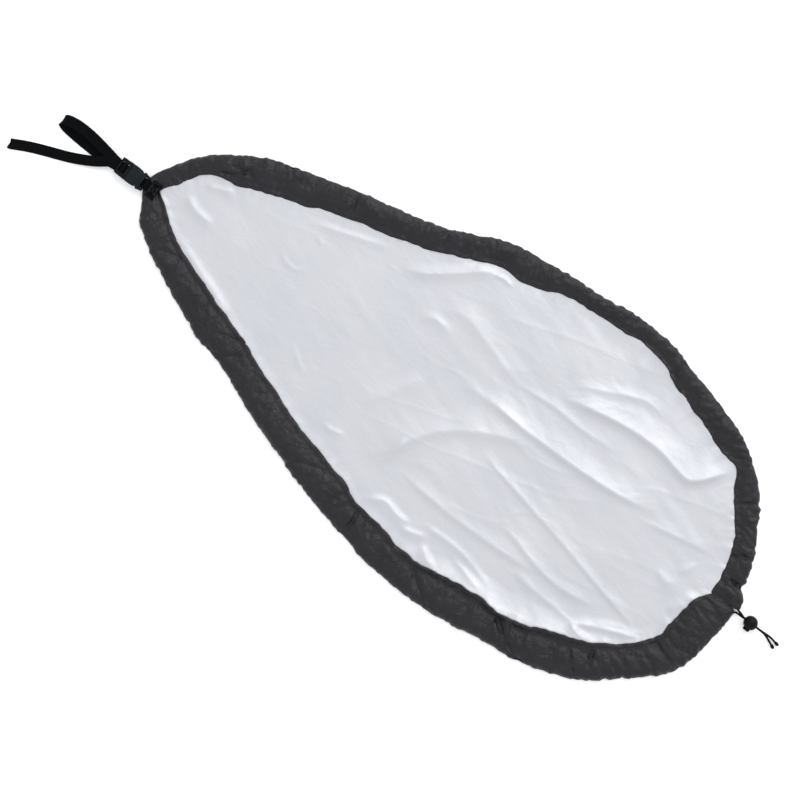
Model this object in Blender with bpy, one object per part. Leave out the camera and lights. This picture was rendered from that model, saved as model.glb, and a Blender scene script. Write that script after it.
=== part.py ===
"""A drawcord cover for a kayak cockpit: a teardrop of coated cloth in a hemmed casing, with an
elastic drawcord and its cord lock at the wide end, and a buckled webbing tether at the narrow end.

Metres, +Z up. The cover lies flat on z = 0 with its long axis along X and its wide end at +X.
"""

import math

import bmesh
import bpy
from mathutils import Vector

MM = 0.001

# ---- driving dimensions ----------------------------------------------------------------------
COVER_LENGTH = 1000 * MM  # narrow tip to wide end
COVER_WIDTH = 495 * MM
TAIL_REACH = 180 * MM  # how far the tether's tail ends beyond the narrow tip

PLY = 0.8 * MM  # one folded ply of the casing's cloth
CROWN = 12 * MM  # how high the loose casing stands
SEAM_ALLOWANCE = 10 * MM  # how far the panel's edge runs into the casing
PANEL_THICKNESS = 1.5 * MM
GAP = 0.3 * MM  # between pieces that touch

CORD_DIAMETER = 3 * MM
CORD_SLACK = 0.6 * MM  # round the drawcord, in its channel
CORD_MOUTH = 9 * MM  # half the opening that the cord leaves the casing by
END_OVERLAP = 2 * MM  # how far each free end starts inside the casing
STRAND_GAP = 0.4 * MM  # between the two strands, one above the other in the lock
LOCK_DIAMETER = 20 * MM
LOCK_SIDE_Y = -2.2 * MM  # the lock's line, beside where the cord leaves the casing
EXIT_TO_LOCK = 14.2 * MM  # from there to the lock's near side
SLOT_SPARE = 0.2 * MM  # by which the lock's slot is larger than its plunger's window
LOCK_BORE_RADIUS = 5.3 * MM
LOCK_BORE_WALL = 2.2 * MM  # behind the spring, on the axis
PLUNGER_RADIUS = 5.0 * MM
PLUNGER_TRAVEL = 2.4 * MM
PLUNGER_PROUD = 2.7 * MM
PLUNGER_WEB = 1.4 * MM  # between the plunger's window and its inner end
SPRING_RADIUS = 3.4 * MM
SPRING_WIRE = 0.5 * MM
SPRING_TURNS = 3
TIP_DIAMETER = 4.6 * MM
TIP_LENGTH = 5.5 * MM

WEB_WIDTH = 15 * MM
WEB_THICKNESS = 1.2 * MM
TETHER_Y = -11 * MM  # the tether's line, beside the cover's own axis
TETHER_SPLIT = 4 * MM  # beyond the tip, where the sewn end stops and the loose loop starts
SEWN_REACH = 11 * MM  # how far the tether's sewn end runs in under the casing
PATCH_LENGTH = 14 * MM
PATCH_WIDTH = 24.6 * MM
PATCH_THICKNESS = 1.0 * MM

BUCKLE_THICKNESS = 8.5 * MM
BUCKLE_SIDE = 5.25 * MM  # how far the buckle is wider than its slot, on each side
SLOT_CLEARANCE = 0.5 * MM  # beside the webbing, in a slot
BAR_RADIUS = 1.5 * MM
BAR_INSET = 3.5 * MM  # how far inside the cover's tip the socket's bar lies
BAR_TO_SOCKET = 3 * MM  # the open slot between the bar and the socket's body
SOCKET_LENGTH = 23 * MM
SOCKET_WALL = 2.45 * MM
SOCKET_PLATE = 1.5 * MM
SOCKET_END_WALL = 3 * MM
WINDOW_LENGTH = 9.5 * MM
LADDER_SLOT = 3.5 * MM
SHOULDER = 3.7 * MM
LADDER_FRAME = 5 * MM
GUIDE_ROD_WIDTH = 3.2 * MM

# ---- what follows from them --------------------------------------------------------------------
TIP_X = TAIL_REACH / 2 - COVER_LENGTH / 2
FOLD_RADIUS = CORD_DIAMETER / 2 + CORD_SLACK + PLY
INNER_EDGE_TOP = 2 * PLY + 2 * GAP + PANEL_THICKNESS
SEWN_LIFT = WEB_THICKNESS + GAP  # the casing lies on the tether's sewn end here
TIP_TOP = SEWN_LIFT + 2 * FOLD_RADIUS

BAR_X = TIP_X + BAR_INSET
BAR_Z = TIP_TOP + GAP + WEB_THICKNESS + GAP + BAR_RADIUS
WEB_OVER_BAR = BAR_RADIUS + GAP + WEB_THICKNESS / 2
SLOT_HALF = WEB_WIDTH / 2 + SLOT_CLEARANCE
BUCKLE_HALF = SLOT_HALF + BUCKLE_SIDE

# Distances along the buckle from the socket's bar, towards -X.
SOCKET_START = BAR_RADIUS + BAR_TO_SOCKET
SOCKET_END = SOCKET_START + SOCKET_LENGTH
CAVITY_START = SOCKET_START + SOCKET_END_WALL
WINDOW_END = CAVITY_START + WINDOW_LENGTH
PLUG_START = SOCKET_END + GAP
SLOT_A = PLUG_START + SHOULDER
BAR_A = SLOT_A + LADDER_SLOT
SLOT_B = BAR_A + 2 * BAR_RADIUS
BAR_B = SLOT_B + LADDER_SLOT
PLUG_END = BAR_B + 2 * BAR_RADIUS

EXIT_Y = 9.9 * MM  # where the drawcord leaves the casing
LOCK_FROM_EXIT = EXIT_TO_LOCK + LOCK_DIAMETER / 2
STRAND_RISE = (CORD_DIAMETER + STRAND_GAP) / 2  # of a strand's middle from the lock's

# Share of the length : fullness of the outline there.
OUTLINE_KNOTS = (
    (0.00, 0.687), (0.12, 0.711), (0.22, 0.713), (0.35, 0.790),
    (0.50, 0.941), (0.70, 1.075), (0.88, 1.204), (1.00, 1.293),
)
# Share of the way from the narrow tip to the cord's exit : the casing's width in millimetres.
CASING_WIDTHS = {
    "right": (
        (0.00, 24), (0.04, 31), (0.12, 40), (0.25, 37), (0.42, 33),
        (0.58, 23), (0.68, 25), (0.80, 31), (0.92, 32), (1.00, 30),
    ),
    "left": (
        (0.00, 24), (0.04, 35), (0.15, 41), (0.40, 45), (0.60, 46),
        (0.75, 51), (0.90, 53), (1.00, 48),
    ),
}
SIDES = {"right": 1, "left": -1}  # the side of y that each casing lies on

# Colour, roughness and metallic value of each material.
FINISHES = {
    "silver_cloth": ((0.70, 0.71, 0.74), 0.38, 0.6),
    "casing_cloth": ((0.030, 0.028, 0.034), 0.55, 0.0),
    "webbing": ((0.006, 0.009, 0.012), 0.8, 0.0),
    "buckle_plastic": ((0.010, 0.014, 0.017), 0.4, 0.0),
    "cord": ((0.012, 0.012, 0.014), 0.75, 0.0),
    "lock_plastic": ((0.010, 0.011, 0.012), 0.35, 0.0),
    "spring_steel": ((0.55, 0.55, 0.56), 0.3, 1.0),
}


# ---- modelling helpers -------------------------------------------------------------------------
def clear_scene():
    for found in list(bpy.data.objects):
        bpy.data.objects.remove(found, do_unlink=True)


def material(name):
    found = bpy.data.materials.get(name)
    if found:
        return found
    made = bpy.data.materials.new(name)
    made.use_nodes = True
    colour, roughness, metallic = FINISHES[name]
    shader = made.node_tree.nodes["Principled BSDF"]
    shader.inputs["Base Color"].default_value = (*colour, 1)
    shader.inputs["Roughness"].default_value = roughness
    shader.inputs["Metallic"].default_value = metallic
    return made


def add_object(name, data, finish, origin, parent):
    made = bpy.data.objects.new(name, data)
    bpy.context.scene.collection.objects.link(made)
    made.location = origin
    if parent:
        made.parent = parent
        made.location = Vector(origin) - world_place(parent)
    if finish:
        data.materials.append(material(finish))
    return made


def world_place(thing):
    place = Vector(thing.location)
    return place + world_place(thing.parent) if thing.parent else place


def pivot(name, place, parent=None):
    made = add_object(name, None, None, place, parent)
    made.empty_display_size = 10 * MM
    return made


def mesh_object(name, points, faces, finish, origin=(0, 0, 0), parent=None):
    origin = Vector(origin)
    shape = bmesh.new()
    corners = [shape.verts.new(Vector(point) - origin) for point in points]
    for face in faces:
        shape.faces.new([corners[index] for index in face])
    bmesh.ops.recalc_face_normals(shape, faces=shape.faces)
    data = bpy.data.meshes.new(name)
    shape.to_mesh(data)
    shape.free()
    return add_object(name, data, finish, origin, parent)


def loft(name, rings, finish, origin=(0, 0, 0), parent=None):
    """A closed solid through equal rings of points, with a face across each end."""
    size = len(rings[0])
    points = [point for ring in rings for point in ring]
    faces = [tuple(range(size)), tuple(range(len(points) - size, len(points)))]
    for start in range(0, len(points) - size, size):
        for index in range(size):
            following = (index + 1) % size
            faces.append((start + index, start + following,
                          start + size + following, start + size + index))
    return mesh_object(name, points, faces, finish, origin, parent)


def box_points(low, high):
    return [Vector((x, y, z)) for x in (low[0], high[0]) for y in (low[1], high[1])
            for z in (low[2], high[2])]


BOX_FACES = ((0, 1, 3, 2), (4, 6, 7, 5), (0, 4, 5, 1), (2, 3, 7, 6), (0, 2, 6, 4), (1, 5, 7, 3))


def helper(made):
    """A cutter or an addition, which isn't a piece of its own."""
    made.hide_render = True
    made.display_type = "WIRE"
    return made


def combine(target, other, operation):
    modifier = target.modifiers.new(f"{operation.lower()} {other.name}", "BOOLEAN")
    modifier.operation = operation
    modifier.object = other


def round_edges(target, width, segments=2):
    modifier = target.modifiers.new("rounded edges", "BEVEL")
    modifier.width = width
    modifier.segments = segments
    modifier.limit_method = "ANGLE"


def shade_round(target):
    target.data.shade_smooth()
    target.data.set_sharp_from_angle(angle=math.radians(35))


def through(knots, place):
    """A smooth curve's value at a place, through (place, value) knots."""
    last = len(knots) - 1
    span = max(i for i in range(last) if i == 0 or knots[i][0] <= place)

    def slope(i):
        before, after = knots[max(i - 1, 0)], knots[min(i + 1, last)]
        return (after[1] - before[1]) / (after[0] - before[0])

    (start, low), (end, high) = knots[span], knots[span + 1]
    length = end - start
    t = (place - start) / length
    return (
        (2 * t**3 - 3 * t**2 + 1) * low + (t**3 - 2 * t**2 + t) * length * slope(span)
        + (3 * t**2 - 2 * t**3) * high + (t**3 - t**2) * length * slope(span + 1)
    )


def smooth_route(route, spacing):
    """Points at about this spacing on a smooth curve through the route's own points."""
    lengths = [0.0]
    for before, after in zip(route, route[1:]):
        lengths.append(lengths[-1] + (Vector(after) - Vector(before)).length)
    knots = [[(length, point[axis]) for length, point in zip(lengths, route)] for axis in range(3)]
    steps = max(round(lengths[-1] / spacing), 2)
    places = [lengths[-1] * step / steps for step in range(steps + 1)]
    return [Vector([through(knots[axis], place) for axis in range(3)]) for place in places]


def thinned(points, longest, bend):
    """The same line with fewer points where it runs straight."""
    kept = [points[0]]
    for point, after in zip(points[1:], points[2:]):
        turned = (point - kept[-1]).angle(after - point) if point != kept[-1] else 0
        if turned > bend or (after - kept[-1]).length > longest:
            kept.append(point)
    return [*kept, points[-1]]


def ribbon_rings(centres, width, thickness):
    """A flat band's rings along its middle line, lying across Y as webbing on the tether does."""
    rings = []
    for index, centre in enumerate(centres):
        before, after = centres[max(index - 1, 0)], centres[min(index + 1, len(centres) - 1)]
        along = (after - before).normalized()
        across = Vector((0, 1, 0))
        across = (across - across.dot(along) * along).normalized() * width / 2
        up = along.cross(across).normalized() * thickness / 2
        rings.append([centre + across + up, centre - across + up,
                      centre - across - up, centre + across - up])
    return rings


def tube(name, points, diameter, finish, parent=None):
    origin = Vector(parent.location) if parent else Vector()
    data = bpy.data.curves.new(name, "CURVE")
    data.dimensions = "3D"
    data.bevel_depth = diameter / 2
    data.bevel_resolution = 2
    data.use_fill_caps = True
    spline = data.splines.new("POLY")
    spline.points.add(len(points) - 1)
    for slot, point in zip(spline.points, points):
        slot.co = (*(Vector(point) - origin), 1)
    return add_object(name, data, finish, origin, parent)


# ---- the cover's outline -----------------------------------------------------------------------
def outline(angle):
    """A point on the cover's outer edge: 0 is the narrow tip, pi the wide end."""
    share = (1 - math.cos(angle)) / 2
    across = math.sin(angle) / 2 * COVER_WIDTH * through(OUTLINE_KNOTS, share)
    return Vector((TIP_X + COVER_LENGTH * share, across, 0))


def angle_near(start, y):
    """The outline's angle near start (the tip or the wide end) where it reaches this y."""
    half = COVER_WIDTH / 2 * through(OUTLINE_KNOTS, (1 - math.cos(start)) / 2)
    return start + math.asin(y / half) * math.cos(start)


class Edge:
    """One side of the outer edge, from the seam at the narrow tip to the cord's exit."""

    def __init__(self, side):
        turn = SIDES[side]
        start = angle_near(0, TETHER_Y)
        end = angle_near(math.pi, EXIT_Y)
        if turn < 0:
            end -= 2 * math.pi
        self.turn, self.widths = turn, CASING_WIDTHS[side]
        steps = 600
        self.angles = [start + (end - start) * step / steps for step in range(steps + 1)]
        self.lengths = [0.0]
        for before, after in zip(self.angles, self.angles[1:]):
            self.lengths.append(self.lengths[-1] + (outline(after) - outline(before)).length)
        self.length = self.lengths[-1]

    def angle(self, distance):
        distance = min(max(distance, 0), self.length)
        index = next(i for i in range(1, len(self.lengths)) if self.lengths[i] >= distance)
        low, high = self.lengths[index - 1], self.lengths[index]
        share = (distance - low) / (high - low)
        return self.angles[index - 1] + share * (self.angles[index] - self.angles[index - 1])

    def at(self, distance, inward, z):
        """The point this far along the edge, this far in from it, and this high."""
        angle = self.angle(distance)
        step = 1e-3
        along = (outline(angle + step) - outline(angle - step)).normalized()
        place = outline(angle) + Vector((-along.y, along.x, 0)) * inward * -1
        return Vector((place.x, place.y, z))

    def width(self, distance):
        return through(self.widths, distance / self.length) * MM

    def stations(self, end):
        """Distances from the seam to this far along, closer together beside the tether."""
        beside = [WEB_WIDTH / 2 + extra * MM for extra in (3, 4.5, 7, 12.5, 20.5, 30.5)]
        start = beside[-1] + 10 * MM
        steps = round((end - start) / (28 * MM))
        return [GAP / 2, *beside, *[start + (end - start) * step / steps
                                    for step in range(steps + 1)]]


def ramp(value, low, high):
    t = min(max((value - low) / (high - low), 0), 1)
    return t * t * (3 - 2 * t)


def lifted(place, inward):
    """The place, raised where the casing lies on the tether's sewn end."""
    aside = abs(place.y - TETHER_Y) - WEB_WIDTH / 2
    share = 1 - ramp(aside, 3 * MM, 10 * MM) if place.x < TIP_X + 3 * SEWN_REACH else 0
    share *= 1 - ramp(inward - SEWN_REACH, 0.5 * MM, 2.5 * MM)
    return place + Vector((0, 0, SEWN_LIFT * share))


# ---- the cover ---------------------------------------------------------------------------------
def casing_ring(edge, distance):
    """The folded strip's section: round the fold at the outer edge, open at its sewn inner edge."""
    width = edge.width(distance)
    crown = 2 * FOLD_RADIUS + (CROWN - 2 * FOLD_RADIUS) * ramp(distance, 14 * MM, 60 * MM)
    reach = SEWN_REACH + 0.5 * MM
    fold, low = FOLD_RADIUS, 0.3 * FOLD_RADIUS
    rise = crown - 2 * fold
    outer = [
        (width, 0), (reach + 2 * MM, 0), (reach, 0), (fold, 0), (low, low), (0, fold),
        (low, 2 * fold - low + rise * 0.25), (0.25 * width, 2 * fold + rise * 0.75),
        (reach if rise == 0 else 0.5 * width, crown),
        (0.75 * width, INNER_EDGE_TOP + (crown - INNER_EDGE_TOP) * 0.6), (width, INNER_EDGE_TOP),
    ]
    turn_in = 0.7 * PLY
    shifts = [
        (0, PLY), (0, PLY), (0, PLY), (0, PLY), (turn_in, turn_in), (PLY, 0),
        (turn_in, -turn_in), (turn_in / 2, -PLY), (0, -PLY), (0, -PLY), (0, -PLY),
    ]
    inner = [(u + du, z + dz) for (u, z), (du, dz) in zip(outer, shifts)]
    ring = outer + inner[::-1]
    return [lifted(edge.at(distance, u, z), u) for u, z in ring]


def make_casing(side):
    edge = Edge(side)
    reach = edge.length - CORD_MOUTH - END_OVERLAP
    distances = [*edge.stations(reach), edge.length - GAP / 2]
    rings = [casing_ring(edge, distance) for distance in distances]
    casing = loft(f"casing_{side}", rings, "casing_cloth")
    mouth_depth = 2 * FOLD_RADIUS + 4 * MM
    exit_place = edge.at(edge.length, 0, 0)
    low = exit_place - Vector((mouth_depth, CORD_MOUTH, 0))
    high = exit_place + Vector((5 * MM, CORD_MOUTH, 2 * CROWN))
    low.z = PLY + GAP / 6
    cutter = helper(mesh_object(f"mouth_cutter_{side}", box_points(low, high), BOX_FACES, None))
    combine(casing, cutter, "DIFFERENCE")
    return edge


def make_panel(edges):
    outline_points = []
    for edge, forward in ((edges["right"], True), (edges["left"], False)):
        steps = round(edge.length / (22 * MM))
        distances = [edge.length * (step + 0.5) / steps for step in range(steps)]
        for distance in distances if forward else distances[::-1]:
            inward = edge.width(distance) - SEAM_ALLOWANCE
            outline_points.append(edge.at(distance, inward, 0))
    rings = []
    for z in (PLY + GAP, PLY + GAP + PANEL_THICKNESS):
        rings.append([Vector((point.x, point.y, z)) for point in outline_points])
    loft("panel", rings, "silver_cloth")


# ---- the drawcord and its lock -------------------------------------------------------------------
# The free ends' routes. Strand a leaves the right casing and passes through the lock above
# strand b, which leaves the left one. Each point is how far it lies from the exit, or beyond the
# lock's far side, and beside the exit, both in millimetres, and the share of the way up from the
# ground to the strand's place in the lock.
STRANDS_TO_LOCK = {
    "a": ((-2.3, 5.0, 0.16), (-0.6, 2.8, 0.25), (2.2, 1.5, 0.40), (5.6, 0.5, 0.64),
          (8.6, -0.7, 0.86), (11.6, -1.8, 0.98)),
    "b": ((-2.4, -5.4, 0.14), (-0.8, -3.4, 0.22), (2.2, -2.2, 0.40), (5.6, -2.3, 0.65),
          (8.6, -2.4, 0.84), (11.4, -2.3, 0.97)),
}
STRANDS_BEYOND_LOCK = {
    "a": ((6.8, -2.2, 0.99), (13.8, -1.9, 0.84), (20.8, -1.5, 0.51), (27.8, -1.9, 0.20),
          (34.4, -3.0, 0)),
    "b": ((5.8, -2.3, 0.98), (12.8, -2.6, 0.78), (19.8, -4.1, 0.38), (26.8, -6.7, 0.09),
          (32.0, -8.9, 0)),
}
STRAND_SIDES = {"a": 1, "b": -1}  # above or below the lock's middle


def strand_route(name):
    """A free end's points from the exit to its tip."""
    held = LOCK_DIAMETER / 2 + STRAND_SIDES[name] * STRAND_RISE
    ground = TIP_DIAMETER / 2 + SLOT_SPARE
    in_lock = [((LOCK_FROM_EXIT + part * LOCK_DIAMETER) / MM, LOCK_SIDE_Y / MM, 1)
               for part in (-0.36, 0, 0.39)]
    far_side = (LOCK_FROM_EXIT + LOCK_DIAMETER / 2) / MM
    beyond = [(x + far_side, y, share) for x, y, share in STRANDS_BEYOND_LOCK[name]]
    return [Vector((x * MM, y * MM, ground + share * (held - ground)))
            for x, y, share in (*STRANDS_TO_LOCK[name], *in_lock, *beyond)]


def make_drawcord(edges):
    right, left = edges["right"], edges["left"]
    exit_place = right.at(right.length, 0, 0)
    inside = CORD_MOUTH + END_OVERLAP
    route = []
    for edge in (right, left):
        distances = edge.stations(edge.length - inside)
        distances[-1] -= GAP
        half = [edge.at(distance, FOLD_RADIUS, FOLD_RADIUS) for distance in distances]
        route += half[::-1] if edge is right else half
    route = [lifted(point, FOLD_RADIUS) for point in route]
    tube("drawcord_loop", route, CORD_DIAMETER, "cord")
    for name, edge in (("a", right), ("b", left)):
        start = [edge.at(edge.length - distance, FOLD_RADIUS, FOLD_RADIUS + rise)
                 for distance, rise in ((inside, 0), (inside - 3 * MM, 0.2 * MM))]
        route = [exit_place + point for point in strand_route(name)]
        centres = smooth_route([*start, *route], 2.5 * CORD_DIAMETER / 2)
        tube(f"drawcord_end_{name}", centres, CORD_DIAMETER, "cord")
        make_cord_tip(name, centres)
    return exit_place


def make_cord_tip(name, centres):
    """The thickened, sealed end of a strand, in line with its last stretch."""
    along = (centres[-1] - centres[-2]).normalized()
    along.z = max(along.z, -0.05)
    along.normalize()
    side = along.cross(Vector((0, 0, 1))).normalized()
    up = side.cross(along)
    start = centres[-1] + along * 2 * GAP
    rings = []
    for share, swell in ((0, 0.72), (0.12, 1.0), (0.85, 0.95), (1, 0.7)):
        radius = TIP_DIAMETER / 2 * swell
        turns = [2 * math.pi * step / 12 for step in range(12)]
        rings.append([start + along * TIP_LENGTH * share
                      + side * radius * math.cos(turn) + up * radius * math.sin(turn)
                      for turn in turns])
    shade_round(loft(f"cord_tip_{name}", rings, "cord"))


def cylinder_y(name, place, radius, start, end, finish=None, parent=None, sides=24):
    """A solid cylinder along Y, from start to end, both counted from its place."""
    rings = [[Vector(place) + Vector((radius * math.cos(2 * math.pi * step / sides), y,
                                      radius * math.sin(2 * math.pi * step / sides)))
              for step in range(sides)] for y in (start, end)]
    return loft(name, rings, finish, place, parent)


def make_lock(exit_place):
    radius = LOCK_DIAMETER / 2
    centre = exit_place + Vector((LOCK_FROM_EXIT, LOCK_SIDE_Y, radius))
    slide = pivot("lock_slide_origin", centre)
    half_slot = CORD_DIAMETER / 2 + GAP
    slot_height = STRAND_RISE + CORD_DIAMETER / 2 + 2 * GAP

    shape = bmesh.new()
    bmesh.ops.create_uvsphere(shape, u_segments=24, v_segments=16, radius=radius)
    data = bpy.data.meshes.new("lock_body")
    shape.to_mesh(data)
    shape.free()
    body = add_object("lock_body", data, "lock_plastic", centre, slide)
    bore_end = radius - LOCK_BORE_WALL
    bore = cylinder_y("lock_bore", centre, LOCK_BORE_RADIUS, -2 * radius, bore_end, parent=slide)
    reach = Vector((2 * radius, half_slot + SLOT_SPARE, slot_height + SLOT_SPARE))
    slot = mesh_object("lock_cord_slot", box_points(centre - reach, centre + reach), BOX_FACES,
                       None, centre, slide)
    for cutter in (bore, slot):
        combine(body, helper(cutter), "DIFFERENCE")
    shade_round(body)

    press = pivot("plunger_press_origin", centre, slide)
    inner_end = half_slot + PLUNGER_WEB
    outer_end = -radius - PLUNGER_PROUD
    plunger = cylinder_y("lock_plunger", centre, PLUNGER_RADIUS, outer_end, inner_end,
                         "lock_plastic", press)
    low = centre - Vector((2 * radius, half_slot + PLUNGER_TRAVEL, slot_height))
    high = centre + Vector((2 * radius, half_slot, slot_height))
    window = mesh_object("plunger_window", box_points(low, high), BOX_FACES, None, centre, press)
    combine(plunger, helper(window), "DIFFERENCE")
    shade_round(plunger)

    start, end = inner_end + GAP + SPRING_WIRE / 2, bore_end - GAP - SPRING_WIRE / 2
    steps = SPRING_TURNS * 14
    coil = []
    for step in range(steps + 1):
        turn = 2 * math.pi * SPRING_TURNS * step / steps
        coil.append(centre + Vector((SPRING_RADIUS * math.cos(turn),
                                     start + (end - start) * step / steps,
                                     SPRING_RADIUS * math.sin(turn))))
    tube("lock_spring", coil, SPRING_WIRE, "spring_steel")
    return centre


# ---- the tether and its buckle -------------------------------------------------------------------
def on_buckle(along, y, z):
    """A point this far from the socket's bar towards -X, and from the tether's line and the bar."""
    return Vector((BAR_X - along, TETHER_Y + y, BAR_Z + z))


def buckle_box(name, along, across, up, finish=None, parent=None, origin=(0, 0, 0)):
    """A box on the buckle, from (start, end) along it and (low, high) across and up."""
    low = on_buckle(along[1], across[0], up[0])
    high = on_buckle(along[0], across[1], up[1])
    return mesh_object(name, box_points(low, high), BOX_FACES, finish, origin, parent)


def buckle_bar(name, start, half_length, parent):
    """A round bar across the buckle."""
    centre = on_buckle(start + BAR_RADIUS, 0, 0)
    return cylinder_y(name, centre, BAR_RADIUS, -half_length, half_length, None, parent, sides=16)


def make_socket(hinge):
    half_thickness = BUCKLE_THICKNESS / 2
    origin = world_place(hinge)
    socket = buckle_box("buckle_female", (SOCKET_START, SOCKET_END), (-BUCKLE_HALF, BUCKLE_HALF),
                        (-half_thickness, half_thickness), "buckle_plastic", hinge, origin)
    round_edges(socket, 1.6 * MM, 3)
    rail_outer = BUCKLE_HALF - 1.5 * MM
    for side in (-1, 1):
        across = sorted((side * SLOT_HALF, side * rail_outer))
        rail = buckle_box(f"socket_rail_{side + 1}", (0, SOCKET_START + 1 * MM), across,
                          (-BAR_RADIUS, BAR_RADIUS), None, hinge, origin)
        combine(socket, helper(rail), "UNION")
    bar = buckle_bar("socket_bar", -BAR_RADIUS, rail_outer, hinge)
    combine(socket, helper(bar), "UNION")
    cavity_half = BUCKLE_HALF - SOCKET_WALL
    cavity_up = half_thickness - SOCKET_PLATE
    cavity = buckle_box("socket_cavity", (CAVITY_START, SOCKET_END + 5 * MM),
                        (-cavity_half, cavity_half), (-cavity_up, cavity_up), None, hinge, origin)
    windows = buckle_box("socket_windows", (CAVITY_START, WINDOW_END),
                         (-2 * BUCKLE_HALF, 2 * BUCKLE_HALF), (-cavity_up, cavity_up), None, hinge,
                         origin)
    for cutter in (cavity, windows):
        combine(socket, helper(cutter), "DIFFERENCE")
    return cavity_half, cavity_up


def make_plug(slide, cavity_up):
    half_thickness = BUCKLE_THICKNESS / 2
    origin = world_place(slide)
    plug = buckle_box("buckle_male", (SLOT_A - 1.2 * MM, PLUG_END), (-BUCKLE_HALF, BUCKLE_HALF),
                      (-LADDER_FRAME / 2, LADDER_FRAME / 2), "buckle_plastic", slide, origin)
    round_edges(plug, 1.2 * MM)
    shoulder = buckle_box("plug_shoulder", (PLUG_START, SLOT_A), (-BUCKLE_HALF, BUCKLE_HALF),
                          (-half_thickness, half_thickness), None, slide, origin)
    round_edges(shoulder, 1.2 * MM)
    rod = buckle_box("plug_guide_rod", (CAVITY_START + 2 * MM, PLUG_START + 1 * MM),
                     (-GUIDE_ROD_WIDTH / 2, GUIDE_ROD_WIDTH / 2),
                     (-cavity_up + 1 * MM, cavity_up - 1 * MM), None, slide, origin)
    for addition in (shoulder, rod):
        combine(plug, helper(addition), "UNION")
    slots = buckle_box("plug_slots", (SLOT_A, BAR_B), (-SLOT_HALF, SLOT_HALF),
                       (-2 * BUCKLE_THICKNESS, 2 * BUCKLE_THICKNESS), None, slide, origin)
    end_cut = buckle_box("plug_end_cut", (SLOT_A, PLUG_END + 2 * MM), (-SLOT_HALF, SLOT_HALF),
                         (-2 * BUCKLE_THICKNESS, -BAR_RADIUS), None, slide, origin)
    for cutter in (slots, end_cut):
        combine(plug, helper(cutter), "DIFFERENCE")
    for name, start in (("plug_bar_a", BAR_A), ("plug_bar_b", BAR_B)):
        bar = buckle_bar(name, start, BUCKLE_HALF - 1 * MM, slide)
        combine(plug, helper(bar), "UNION")


def make_prong(name, turn, slide, cavity_half, cavity_up):
    """A sprung arm of the plug, with the barb that latches in the socket's side window."""
    root = PLUG_START - GAP
    shoulder = WINDOW_END - GAP
    barb = BUCKLE_HALF - 0.35 * MM
    arm = cavity_half - 0.9 * MM
    tip = CAVITY_START + 1.2 * MM
    plan = (
        (root, arm - 4.0 * MM), (root, arm - 1.8 * MM), (shoulder + 3 * MM, arm - 0.5 * MM),
        (shoulder, arm), (shoulder, barb - 0.3 * MM), (shoulder - 2.5 * MM, barb),
        (tip + 1.4 * MM, arm + 0.6 * MM), (tip, arm - 1.6 * MM), (tip + 1.2 * MM, arm - 2.6 * MM),
        (shoulder, arm - 3.0 * MM),
    )
    origin = on_buckle(root, turn * (arm - 2.9 * MM), 0)
    hinge = pivot(f"{name}_hinge", origin, slide)
    up = cavity_up - 0.35 * MM
    rings = [[on_buckle(along, turn * y, z) for along, y in plan] for z in (-up, up)]
    loft(name, rings, "buckle_plastic", origin, hinge)
    return origin


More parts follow.
